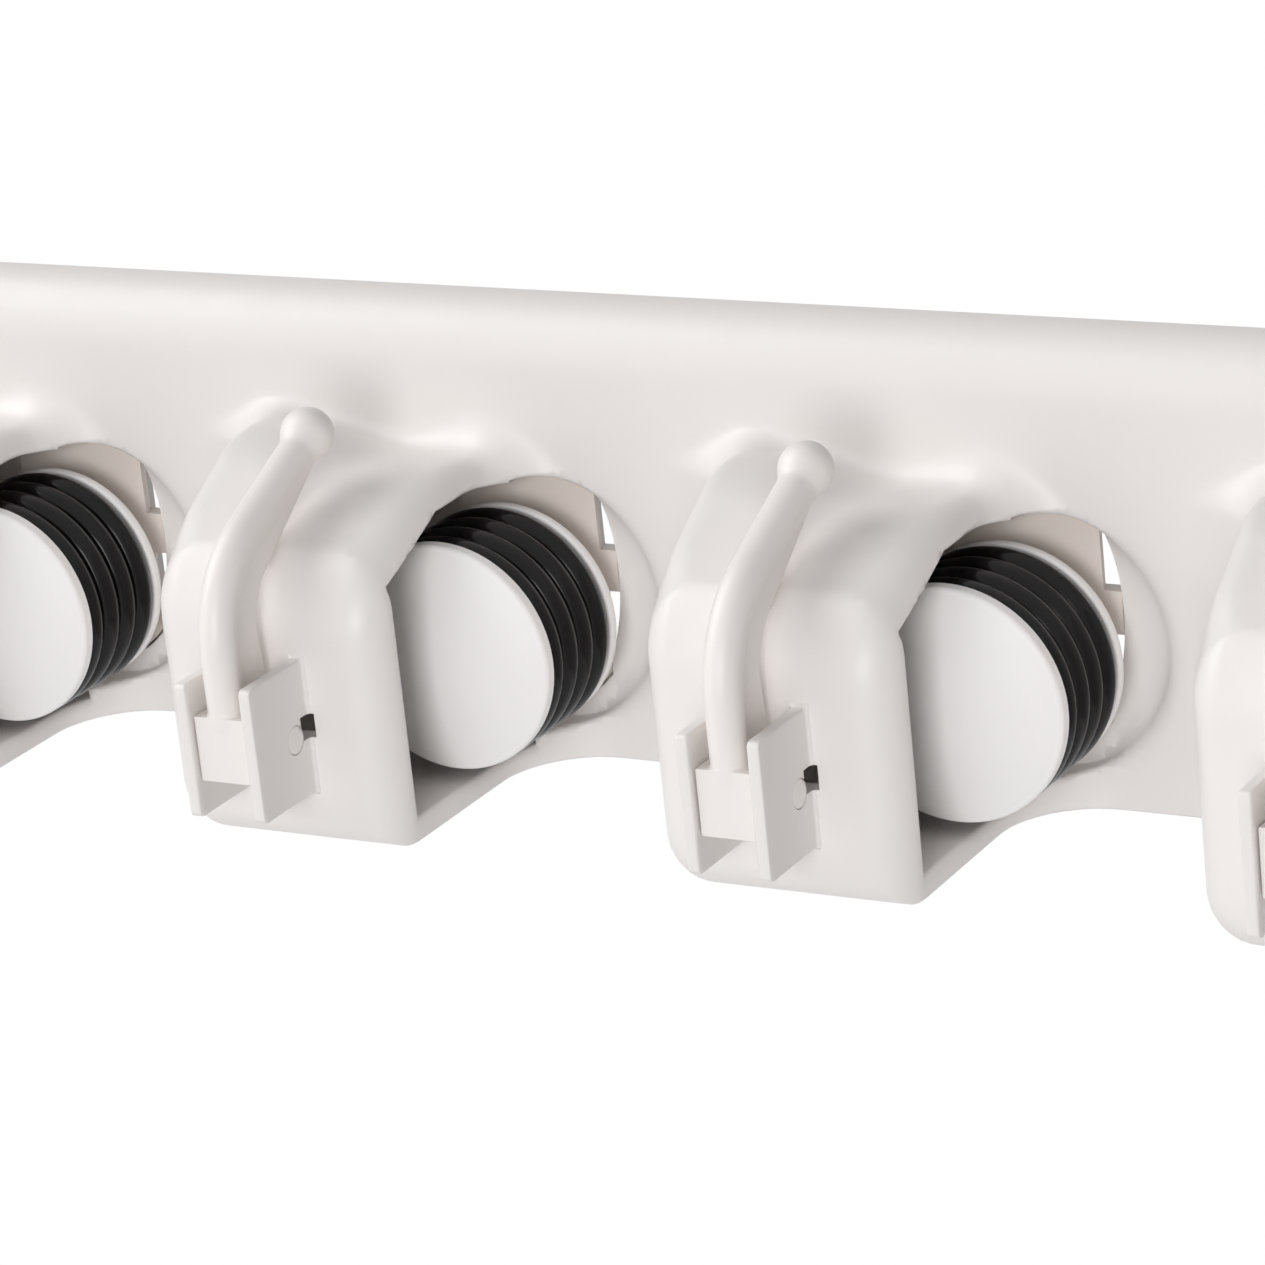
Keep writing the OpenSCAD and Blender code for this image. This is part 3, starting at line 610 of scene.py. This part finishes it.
def bracket_field(q, s):
    """Field of a bracket about the hook's pivot: two cheeks that flare into the prong's face, with a
    bore and a square slot each."""
    x, y, z = np.abs(q[:, 0]), q[:, 1], q[:, 2]
    inner = s.block_w / 2 + SIDE_PLAY
    off = np.clip(FACE_Y - y, 0, FLARE_R)
    flare = FLARE_R - np.sqrt(FLARE_R ** 2 - (FLARE_R - off) ** 2)
    cheek = np.abs(x - inner - s.cheek_t / 2) - s.cheek_t / 2 - flare
    plate = meet(CHEEK_CORNER, -CHEEK_FRONT - y, z - CHEEK_TOP - flare, -CHEEK_LOW - flare - z)
    solid = np.maximum(meet(CHEEK_EDGE, cheek, plate), y - FACE_Y - CHEEK_SEAT)
    bore = np.hypot(y, z) - s.trunnion_d / 2 - BORE_PLAY
    slot = share(SLOT_FRONT - y, -SLOT_LOW - z, z - SLOT_TOP)
    return cut(solid, bore, slot)


# Meshes

def add_piece(name, corner, faces, material, body, nodes=(), normals=None):
    """Makes a piece from points in millimetres and faces, and puts it on its body and slot."""
    mesh = bpy.data.meshes.new(name)
    mesh.from_pydata(corner * MM, [], faces, shade_flat=False)
    mesh.update()
    mesh.materials.append(material)
    if normals is not None:
        mesh.normals_split_custom_set(normals)
    piece = bpy.data.objects.new(name, mesh)
    bpy.context.scene.collection.objects.link(piece)
    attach(piece, body)
    if nodes:
        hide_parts(*nodes)
    return piece


def turned(profiles, steps=96):
    """Closed (r, d) profiles carried round an axis that points out of the wall: points and quads.

    Point (k, j) is (r_k cos t_j, -d_k, r_k sin t_j) with t_j = 2 pi j / steps.
    """
    corner, quads, start = [], [], 0
    t = np.arange(steps) * 2 * math.pi / steps
    for profile in profiles:
        r, d = np.asarray(profile, float).T
        rows = [np.outer(r, np.cos(t)), np.outer(-d, np.ones(steps)), np.outer(r, np.sin(t))]
        k, j = np.meshgrid(np.arange(len(r)), np.arange(steps), indexing="ij")
        k2, j2 = (k + 1) % len(r), (j + 1) % steps
        ring = [k * steps + j, k * steps + j2, k2 * steps + j2, k2 * steps + j]
        quads.append(np.stack(ring, axis=-1).reshape(-1, 4) + start)
        corner.append(np.stack(rows, axis=-1).reshape(-1, 3))
        start += len(corner[-1])
    return np.concatenate(corner), np.concatenate(quads)


def rounded(points, radii, steps=6):
    """A closed outline with its corners rounded: each corner becomes an arc between its tangent points."""
    points = np.asarray(points, float)
    out = []
    for k, r in enumerate(radii):
        a, b, c = points[k - 1], points[k], points[(k + 1) % len(points)]
        if r <= 0:
            out.append(b[None])
            continue
        u, v = (a - b) / np.linalg.norm(a - b), (c - b) / np.linalg.norm(c - b)
        half = math.acos(np.clip(u @ v, -1, 1)) / 2
        run = r / math.tan(half)
        centre = b + (u + v) / np.linalg.norm(u + v) * r / math.sin(half)
        s, e = b + u * run - centre, b + v * run - centre
        sweep = math.acos(np.clip(s @ e / r ** 2, -1, 1))
        w = np.linspace(0, 1, steps + 1)[:, None]
        out.append(centre + (np.sin((1 - w) * sweep) * s + np.sin(w * sweep) * e) / math.sin(sweep))
    return np.concatenate(out)


def smooth_by_angle(piece, degrees=35):
    """Marks the edges where faces turn more than an angle as sharp."""
    piece.data.set_sharp_from_angle(angle=math.radians(degrees))


# Small sizes of a roller, in millimetres
RINGS, RING_STEPS = 4, 40  # rubber rings on a spool; points round a ring's section
RING_PLAY = 0.05  # play of the rings on the spool and of the spool on its axle
PARTING_H, PARTING_W = 0.05, 0.09  # height of a ring's parting line; its width as an angle of the section
FLANGE_INSET = 0.2  # how far the spool's flange stays inside the rings
RECESS_R, RECESS_D = 9.55, 6  # radius and depth of the spool's front recess
SPOOL_ROUNDS = (0.2, 0.6, 0.5, 0.2, 0.3, 0.2, 0.2, 0.2)  # rounding of the spool's corners
CAP_T = 1.2  # from the spool's front to the cap's inside
CAP_EDGE, CAP_LIFT = 0.9, 0.75  # width and height of the cap's shoulder as a full quarter turn
CAP_DROP, CAP_STOP = 0.45, 0.2  # how far below the rim it starts; the angle it stops short by
SKIRT_IN, SKIRT_OUT, SKIRT_D = 7.7, 9.5, 4.5  # radii and depth of the cap's skirt
AXIS_R = 0.02  # radius at which a turned outline ends beside its axis


def roller_depths(s):
    """Depth of the rings' seat, depth of the spool's front and the step from ring to ring."""
    seat, pitch = s.back + s.flange, s.ring_d + 2 * RING_PLAY
    return seat, seat + s.ring_d / 2 + (RINGS - 1) * pitch + s.ring_d / 2 + RING_PLAY, pitch


def spool_profile(s):
    """Outline of a spool: its rear flange, the seat of the rings and the recess in its front."""
    seat, front, _ = roller_depths(s)
    bore, core_r = s.axle_d / 2 + RING_PLAY, s.radius - s.ring_d - RING_PLAY
    flange_r, foot = s.radius - FLANGE_INSET, front - RECESS_D
    return rounded(
        [(bore, s.back), (flange_r, s.back), (flange_r, seat - RING_PLAY), (core_r, seat - RING_PLAY),
         (core_r, front), (RECESS_R, front), (RECESS_R, foot), (bore, foot)],
        SPOOL_ROUNDS, 4)


def ring_profiles(s):
    """Round sections of the rubber rings, swollen by a bell curve at the parting line."""
    seat, _, pitch = roller_depths(s)
    t = np.arange(RING_STEPS) * 2 * math.pi / RING_STEPS
    swell = s.ring_d / 2 + PARTING_H * np.exp(-(np.angle(np.exp(1j * t)) / PARTING_W) ** 2)
    ring = np.stack([s.radius - s.ring_d / 2 + swell * np.cos(t), swell * np.sin(t)], axis=1)
    return [ring + (0, seat + s.ring_d / 2 + k * pitch) for k in range(RINGS)]


def cap_profile(s):
    """Outline of a cap: its skirt, its rounded shoulder and its dome, which is part of a ball."""
    front = roller_depths(s)[1]
    rim, ball_r = front + s.cap_rim, (s.radius ** 2 + s.cap_rise ** 2) / (2 * s.cap_rise)
    r = np.linspace(AXIS_R, s.radius - CAP_EDGE, 24)
    dome = np.stack([r, rim + s.cap_rise - ball_r + np.sqrt(ball_r ** 2 - r ** 2)], axis=1)[::-1]
    turn = np.linspace(0, math.pi / 2 - CAP_STOP, 7)
    shoulder = np.stack(
        [s.radius - CAP_EDGE + CAP_EDGE * np.cos(turn), rim - CAP_DROP + CAP_LIFT * np.sin(turn)], axis=1)
    under = [
        (AXIS_R, front + CAP_T), (SKIRT_IN, front + CAP_T), (SKIRT_IN, front - SKIRT_D),
        (SKIRT_OUT, front - SKIRT_D), (SKIRT_OUT, front), (s.radius, front)]
    return np.concatenate([under, shoulder, dome])


def stud_profile(t):
    """Outline of a keeper's stud with its rounded head."""
    r, low, top = t.stud_d / 2, t.keeper_front - t.keeper_t + STUD_SUNK, t.keeper_front + STUD_SEAT
    return rounded([(AXIS_R, low), (r, low), (r, top), (AXIS_R, top)], [0, STUD_R, 0, 0], 4)


# Materials

LEAST_TONE = 0.985  # what a moulding's colour is multiplied by where its cloud is darkest
GRAIN_SCALE, GRAIN_DEPTH = 2200, 0.00002  # grains to the metre; their depth in metres


def put(node, **values):
    """Sets a node's inputs by name, with an underscore for each space."""
    for key, value in values.items():
        node.inputs[key.replace("_", " ")].default_value = value


def moulded_finish():
    """Shared effect: a moulding's cloudy tone, its fine grain and its uneven gloss, on Object coordinates."""
    group = bpy.data.node_groups.get("moulded_finish")
    if group:
        return group
    group = bpy.data.node_groups.new("moulded_finish", "ShaderNodeTree")
    for side, kind, name in (
        ("INPUT", "Color", "Colour"), ("INPUT", "Float", "Cloud"), ("INPUT", "Float", "Gloss low"),
        ("INPUT", "Float", "Gloss high"), ("OUTPUT", "Color", "Colour"), ("OUTPUT", "Float", "Roughness"),
        ("OUTPUT", "Float", "Height"),
    ):
        group.interface.new_socket(name=name, in_out=side, socket_type="NodeSocket" + kind)
    nodes, link = group.nodes, group.links.new
    take, give = nodes.new("NodeGroupInput"), nodes.new("NodeGroupOutput")
    place = nodes.new("ShaderNodeTexCoord").outputs["Object"]

    def noise(scale, detail, roughness=0.5):
        """A noise texture on the Object coordinates."""
        made = nodes.new("ShaderNodeTexNoise")
        put(made, Scale=scale, Detail=detail, Roughness=roughness)
        link(place, made.inputs["Vector"])
        return made

    cloud = noise(scale=38, detail=4)
    smear = noise(scale=120, detail=5, roughness=0.62)
    grain = noise(scale=GRAIN_SCALE, detail=3)
    tone = nodes.new("ShaderNodeMath")
    tone.operation = "MULTIPLY_ADD"
    link(cloud.outputs["Fac"], tone.inputs[0])
    link(take.outputs["Cloud"], tone.inputs[1])
    tone.inputs[2].default_value = LEAST_TONE
    shade = nodes.new("ShaderNodeMix")
    shade.data_type = "RGBA"
    shade.blend_type = "MULTIPLY"
    put(shade, Factor=1)
    link(take.outputs["Colour"], shade.inputs["A"])
    link(tone.outputs[0], shade.inputs["B"])
    link(shade.outputs["Result"], give.inputs["Colour"])
    gloss = nodes.new("ShaderNodeMapRange")
    put(gloss, From_Min=0.35, From_Max=0.68)
    link(smear.outputs["Fac"], gloss.inputs["Value"])
    link(take.outputs["Gloss low"], gloss.inputs["To Min"])
    link(take.outputs["Gloss high"], gloss.inputs["To Max"])
    link(gloss.outputs["Result"], give.inputs["Roughness"])
    link(grain.outputs["Fac"], give.inputs["Height"])
    return group


def finish_material(name, colour, gloss, cloud=0.03, strength=0.12, **plain):
    """A material on the shared moulding finish. Values that are the same all over sit on the shader."""
    made = bpy.data.materials.get(name)
    if made:
        return made
    made = bpy.data.materials.new(name)
    made.use_nodes = True
    nodes, link = made.node_tree.nodes, made.node_tree.links.new
    shader = nodes["Principled BSDF"]
    effect = nodes.new("ShaderNodeGroup")
    effect.node_tree = moulded_finish()
    put(effect, Colour=(*colour, 1), Cloud=cloud, Gloss_low=gloss[0], Gloss_high=gloss[1])
    bump = nodes.new("ShaderNodeBump")
    put(bump, Strength=strength, Distance=GRAIN_DEPTH)
    link(effect.outputs["Colour"], shader.inputs["Base Color"])
    link(effect.outputs["Roughness"], shader.inputs["Roughness"])
    link(effect.outputs["Height"], bump.inputs["Height"])
    link(bump.outputs["Normal"], shader.inputs["Normal"])
    put(shader, **plain)
    return made


def rail_plastic(c):
    """Satin off-white plastic of the rail, its brackets and its keepers."""
    return finish_material("satin_rail", c.rail, (0.34, 0.46), Specular_IOR_Level=0.45)


def hook_plastic(c):
    """Satin cream plastic of the hooks."""
    return finish_material("cream_hook", c.hook, (0.32, 0.44), Specular_IOR_Level=0.45)


def slider_plastic(c):
    """Natural acetal of the sliders, cloudier than the other plastics."""
    return finish_material("natural_slider", c.slider, (0.34, 0.5), cloud=0.05)


def cap_plastic(c):
    """Satin grey-white plastic of the spools and caps."""
    return finish_material("satin_cap", c.cap, (0.4, 0.52), Specular_IOR_Level=0.4)


def grip_rubber(c):
    """Shining black rubber of the rings."""
    return finish_material("ring_rubber", c.rubber, (0.12, 0.2), cloud=0.2, strength=0.06,
                           Specular_IOR_Level=0.22)


def screw_steel(c):
    """Zinc-plated steel of the axle screws."""
    return finish_material("plated_steel", c.steel, (0.26, 0.42), cloud=0.06, Metallic=1.0)


# Pieces

# Grid lines of the fields, in millimetres, as spread takes them: from, to, gap, and closer ranges
RAIL_GAPS = (1.45, 1.5, 1.4)  # along the rail, out from the wall, up
GRID_START = -35.73  # just left of a seam
PAST_ENDS = 2.5  # how far the grid goes past the rail's ends
PAST_WALL, PAST_FRONT = 1.7, 1.5  # past its back and the prongs
PAST_BOTTOM, PAST_TOP = 1.6, 1.7  # and past its bottom and top
NEAR_POCKET = (35, 40, 0.9)  # at the right rim of a pocket
NEAR_PLATE = (-2, 11, 1.0)
NEAR_FRONT = (43, 51, 1.0)
NEAR_BOTTOM = (-2, 6, 1.0)
NEAR_VALLEY = (34, 52, 1.0)
BRACKET_GRID = (
    (-7.6, 7.6, 0.45), (-10.1, 4.4, 0.6, (-2.6, 4.4, 0.38)), (-10, 12, 0.7, (-2.6, 3.2, 0.38)))
HOOK_GRID = ((-7, 7, 0.62), (-10, 26, 0.62), (-5, 42, 0.62))
SLIDER_GRID = ((-11, 15, 0.8), (1.6, 24, 1.2, (1, 7, 0.6)), (-18, 33, 0.9))
KEEPER_GRID = ((-23, 17.5, 0.7), (0, 2.8, 0.5), (-21, 41, 0.8))


class RackPiece:
    """What the rack's operators share."""
    bl_options = {"REGISTER", "UNDO"}


class RACK_OT_rail(RackPiece, bpy.types.Operator):
    """Make the moulded rail with its prongs, pockets and tracks"""
    bl_idname = "rack.rail"
    bl_label = "Rail"

    def execute(self, context):
        s, t = sizes(context.scene.rack_rail), sizes(context.scene.rack_track)
        bay = spread(GRID_START, s.pitch + GRID_START, RAIL_GAPS[0], NEAR_POCKET)[:-1]
        along = np.concatenate([bay[bay > 0] + PIVOTS[0][0] - s.pitch] + [bay + pivot[0] for pivot in PIVOTS])
        along = along[np.abs(along) < s.end_x + PAST_ENDS]
        out = spread(-PAST_WALL, s.prong_d + PAST_FRONT, RAIL_GAPS[1], NEAR_PLATE, NEAR_FRONT)
        up = spread(-PAST_BOTTOM, s.rail_h + PAST_TOP, RAIL_GAPS[2], NEAR_BOTTOM, NEAR_VALLEY)
        corner, quad, normals = field_mesh(
            lambda q: rail_field(q, s, t), [along, -out[::-1], up + RAIL_LOW[2]])
        add_piece("rail_moulding", corner, quad, rail_plastic(context.scene.rack_colours), "rail",
                  ["rail_shell"], normals)
        return {"FINISHED"}


class RACK_OT_brackets(RackPiece, bpy.types.Operator):
    """Make the hook brackets on the prongs' fronts"""
    bl_idname = "rack.brackets"
    bl_label = "Hook brackets"

    def execute(self, context):
        s = sizes(context.scene.rack_hook)
        lines = [spread(*axis) for axis in BRACKET_GRID]
        corner, quad, normals = field_mesh(lambda q: bracket_field(q, s), lines)
        for k, pivot in enumerate(PIVOTS, 1):
            add_piece(f"hook_bracket_{k}", corner + pivot, quad, rail_plastic(context.scene.rack_colours),
                      "rail", (), normals)
        return {"FINISHED"}


class RACK_OT_hooks(RackPiece, bpy.types.Operator):
    """Make the folding hooks"""
    bl_idname = "rack.hooks"
    bl_label = "Hooks"

    def execute(self, context):
        s, rail = sizes(context.scene.rack_hook), sizes(context.scene.rack_rail)
        lines = [spread(*axis) for axis in HOOK_GRID]
        corner, quad, normals = field_mesh(lambda q: hook_field(q, s, rail), lines)
        for name, pivot in zip(HOOKS, PIVOTS):
            add_piece("folding_" + name, corner + pivot, quad, hook_plastic(context.scene.rack_colours),
                      name, [name], normals)
        return {"FINISHED"}


class RACK_OT_rollers(RackPiece, bpy.types.Operator):
    """Make the rollers: spool, rubber rings and cap"""
    bl_idname = "rack.rollers"
    bl_label = "Rollers"

    def execute(self, context):
        s, c = sizes(context.scene.rack_roller), context.scene.rack_colours
        kinds = (
            ("roller_spool", [spool_profile(s)], cap_plastic(c), "roller_plastic", "roller_core_"),
            ("rubber_rings", ring_profiles(s), grip_rubber(c), "grip_rubber", "grip_rings_"),
            ("domed_cap", [cap_profile(s)], cap_plastic(c), "roller_plastic", "roller_cap_"),
        )
        for name, axle in zip(ROLLERS, AXLES):
            k, place = name.split("_")[1], axle * (1, 0, 1)
            for kind, profiles, material, slot, node in kinds:
                corner, quad = turned(profiles)
                piece = add_piece(f"{kind}_{k}", corner + place, quad, material, name, [node + k])
                smooth_by_angle(piece)
        return {"FINISHED"}


class RACK_OT_carriages(RackPiece, bpy.types.Operator):
    """Make the sliders with their keepers and studs, and finish the axle screws of the CAD model"""
    bl_idname = "rack.carriages"
    bl_label = "Sliders and keepers"

    def execute(self, context):
        t, c = sizes(context.scene.rack_track), context.scene.rack_colours
        places = [axle * (1, 0, 1) for axle in AXLES]
        across, out, up = (spread(*axis) for axis in SLIDER_GRID)
        corner, quad, normals = field_mesh(lambda q: slider_field(q, t), [across, -out[::-1], up])
        for k, place in enumerate(places, 1):
            add_piece(f"carriage_{k}", corner + place, quad, slider_plastic(c), f"slider_{k}",
                      [f"slider_{k}"], normals)
        across, out, up = (spread(*axis) for axis in KEEPER_GRID)
        corner, quad, normals = field_mesh(lambda q: keeper_field(q, t), [across, -out[::-1], up])
        for k, place in enumerate(places, 1):
            add_piece(f"keeper_{k}", corner + place, quad, rail_plastic(c), "rail",
                      [f"keeper_plate_{k}"], normals)
        corner, quad = turned([stud_profile(t)], 32)
        heads = [place + (u, 0, v) for place in places for u, v in stud_places(t)]
        faces = np.concatenate([quad + k * len(corner) for k in range(len(heads))])
        studs = add_piece("keeper_studs", np.concatenate([corner + head for head in heads]), faces,
                          rail_plastic(c), "rail")
        smooth_by_angle(studs)
        for name, node in frame["nodes"].items():
            if name.startswith("axle_screw_"):
                node.data.materials.clear()
                node.data.materials.append(screw_steel(c))
        return {"FINISHED"}


# Stage: places are in metres, the camera is the one fitted to the photo
AIM = (0, -0.02, 0)  # what the lamps point at
LAMPS = (  # name, place, size and watts
    ("front", (0.42, -1.62, 0.28), 0.75, 12),
    ("left", (-1.26, -0.40, 1.10), 1.3, 17),
)
AMBIENT = 0.26  # strength of the even light
FLOOR_HALF, FLOOR_Z = 6.0, -0.32  # half the floor's width, and its height
FLOOR_ROUGHNESS = 0.7
LENS, SENSOR = 143.4, 36  # millimetres
CLIP_START = 0.01
EYE = (0.33406, -0.57100, 0.19710)  # the camera's place, then its three axes
EYE_RIGHT = (0.869800, 0.483266, -0.099508)
EYE_UP = (-0.078069, 0.333931, 0.939359)
EYE_BACK = (0.487189, -0.809286, 0.328181)


def placed(x, y, z, place):
    """World matrix whose columns are three axes and a place."""
    return Matrix([*np.column_stack([x, y, z, place]).tolist(), (0, 0, 0, 1)])


class RACK_OT_stage(RackPiece, bpy.types.Operator):
    """Make the floor, the light and the camera"""
    bl_idname = "rack.stage"
    bl_label = "Stage"

    def execute(self, context):
        scene = context.scene
        scene.view_settings.view_transform = "Standard"
        self.floor(scene)
        self.world(scene)
        for name, place, size, power in LAMPS:
            self.lamp(scene, name, place, size, power)
        camera = bpy.data.cameras.new("photo_camera")
        camera.lens, camera.sensor_width, camera.clip_start = LENS, SENSOR, CLIP_START
        eye = bpy.data.objects.new("photo_camera", camera)
        eye.matrix_world = placed(EYE_RIGHT, EYE_UP, EYE_BACK, EYE)
        scene.collection.objects.link(eye)
        scene.camera = eye
        return {"FINISHED"}

    @staticmethod
    def seen_white(tree):
        """1 for rays from the camera, a mirror or glass, which see the plain white."""
        path = tree.nodes.new("ShaderNodeLightPath")
        total = path.outputs["Is Camera Ray"]
        for name in ("Is Glossy Ray", "Is Transmission Ray"):
            add = tree.nodes.new("ShaderNodeMath")
            add.operation, add.use_clamp = "ADD", True
            tree.links.new(total, add.inputs[0])
            tree.links.new(path.outputs[name], add.inputs[1])
            total = add.outputs[0]
        return total

    def floor(self, scene):
        """A wide pale floor well below the rack, white to the camera."""
        mesh = bpy.data.meshes.new("floor")
        corners = [(x * FLOOR_HALF, y * FLOOR_HALF, FLOOR_Z) for x, y in ((-1, -1), (1, -1), (1, 1), (-1, 1))]
        mesh.from_pydata(corners, [], [(0, 1, 2, 3)])
        made = bpy.data.materials.new("pale_floor")
        made.use_nodes = True
        tree = made.node_tree
        shader, out = tree.nodes["Principled BSDF"], tree.nodes["Material Output"]
        put(shader, Base_Color=(*scene.rack_colours.floor, 1), Roughness=FLOOR_ROUGHNESS)
        white = tree.nodes.new("ShaderNodeEmission")
        mix = tree.nodes.new("ShaderNodeMixShader")
        tree.links.new(self.seen_white(tree), mix.inputs[0])
        tree.links.new(shader.outputs[0], mix.inputs[1])
        tree.links.new(white.outputs[0], mix.inputs[2])
        tree.links.new(mix.outputs[0], out.inputs["Surface"])
        mesh.materials.append(made)
        floor = bpy.data.objects.new("floor", mesh)
        scene.collection.objects.link(floor)

    def world(self, scene):
        """Even ambient light, white to the camera."""
        world = bpy.data.worlds.new("studio")
        world.use_nodes = True
        tree = world.node_tree
        back = tree.nodes["Background"]
        level = tree.nodes.new("ShaderNodeMapRange")
        put(level, To_Min=AMBIENT, To_Max=1.0)
        tree.links.new(self.seen_white(tree), level.inputs["Value"])
        put(back, Color=(1, 1, 1, 1))
        tree.links.new(level.outputs["Result"], back.inputs["Strength"])
        scene.world = world

    @staticmethod
    def lamp(scene, name, place, size, power):
        """A soft square lamp; its back axis runs from what it points at to its place."""
        light = bpy.data.lights.new(name, "AREA")
        light.shape, light.size, light.energy = "SQUARE", size, power
        lamp = bpy.data.objects.new(name, light)
        z = np.array(place, float) - AIM
        z /= np.linalg.norm(z)
        x = np.cross((0, 0, 1), z)
        x /= np.linalg.norm(x)
        lamp.matrix_world = placed(x, np.cross(z, x), z, place)
        scene.collection.objects.link(lamp)


class RACK_PT_sidebar(bpy.types.Panel):
    """The rack's pieces and sizes"""
    bl_label = "Wall Mop Holder Rack"
    bl_idname = "RACK_PT_sidebar"
    bl_space_type = "VIEW_3D"
    bl_region_type = "UI"
    bl_category = "Rack"

    def draw(self, context):
        """Lists the operators and then the groups of sizes and colours."""
        for made in OPERATORS:
            self.layout.operator(made.bl_idname)
        for group in GROUPS:
            box = self.layout.box()
            for key in GROUPS[group].__annotations__:
                box.prop(getattr(context.scene, group), key)


OPERATORS = (RACK_OT_rail, RACK_OT_brackets, RACK_OT_hooks, RACK_OT_rollers, RACK_OT_carriages, RACK_OT_stage)
GROUPS = {"rack_rail": RackRailSizes, "rack_hook": RackHookSizes, "rack_track": RackTrackSizes,
          "rack_roller": RackRollerSizes, "rack_colours": RackColours}


def register():
    """Registers the classes and gives the scene its groups of sizes and colours."""
    for made in (*GROUPS.values(), *OPERATORS, RACK_PT_sidebar):
        bpy.utils.register_class(made)
    for name, group in GROUPS.items():
        setattr(bpy.types.Scene, name, PointerProperty(type=group))


def unregister():
    """Takes the groups off the scene and unregisters the classes, last first."""
    for name in GROUPS:
        delattr(bpy.types.Scene, name)
    for made in reversed((*GROUPS.values(), *OPERATORS, RACK_PT_sidebar)):
        bpy.utils.unregister_class(made)


def main():
    """Builds the rack piece by piece."""
    register()
    bpy.ops.rack.rail()
    bpy.ops.rack.brackets()
    bpy.ops.rack.hooks()
    bpy.ops.rack.rollers()
    bpy.ops.rack.carriages()
    bpy.ops.rack.stage()


if __name__ == "__main__":
    main()
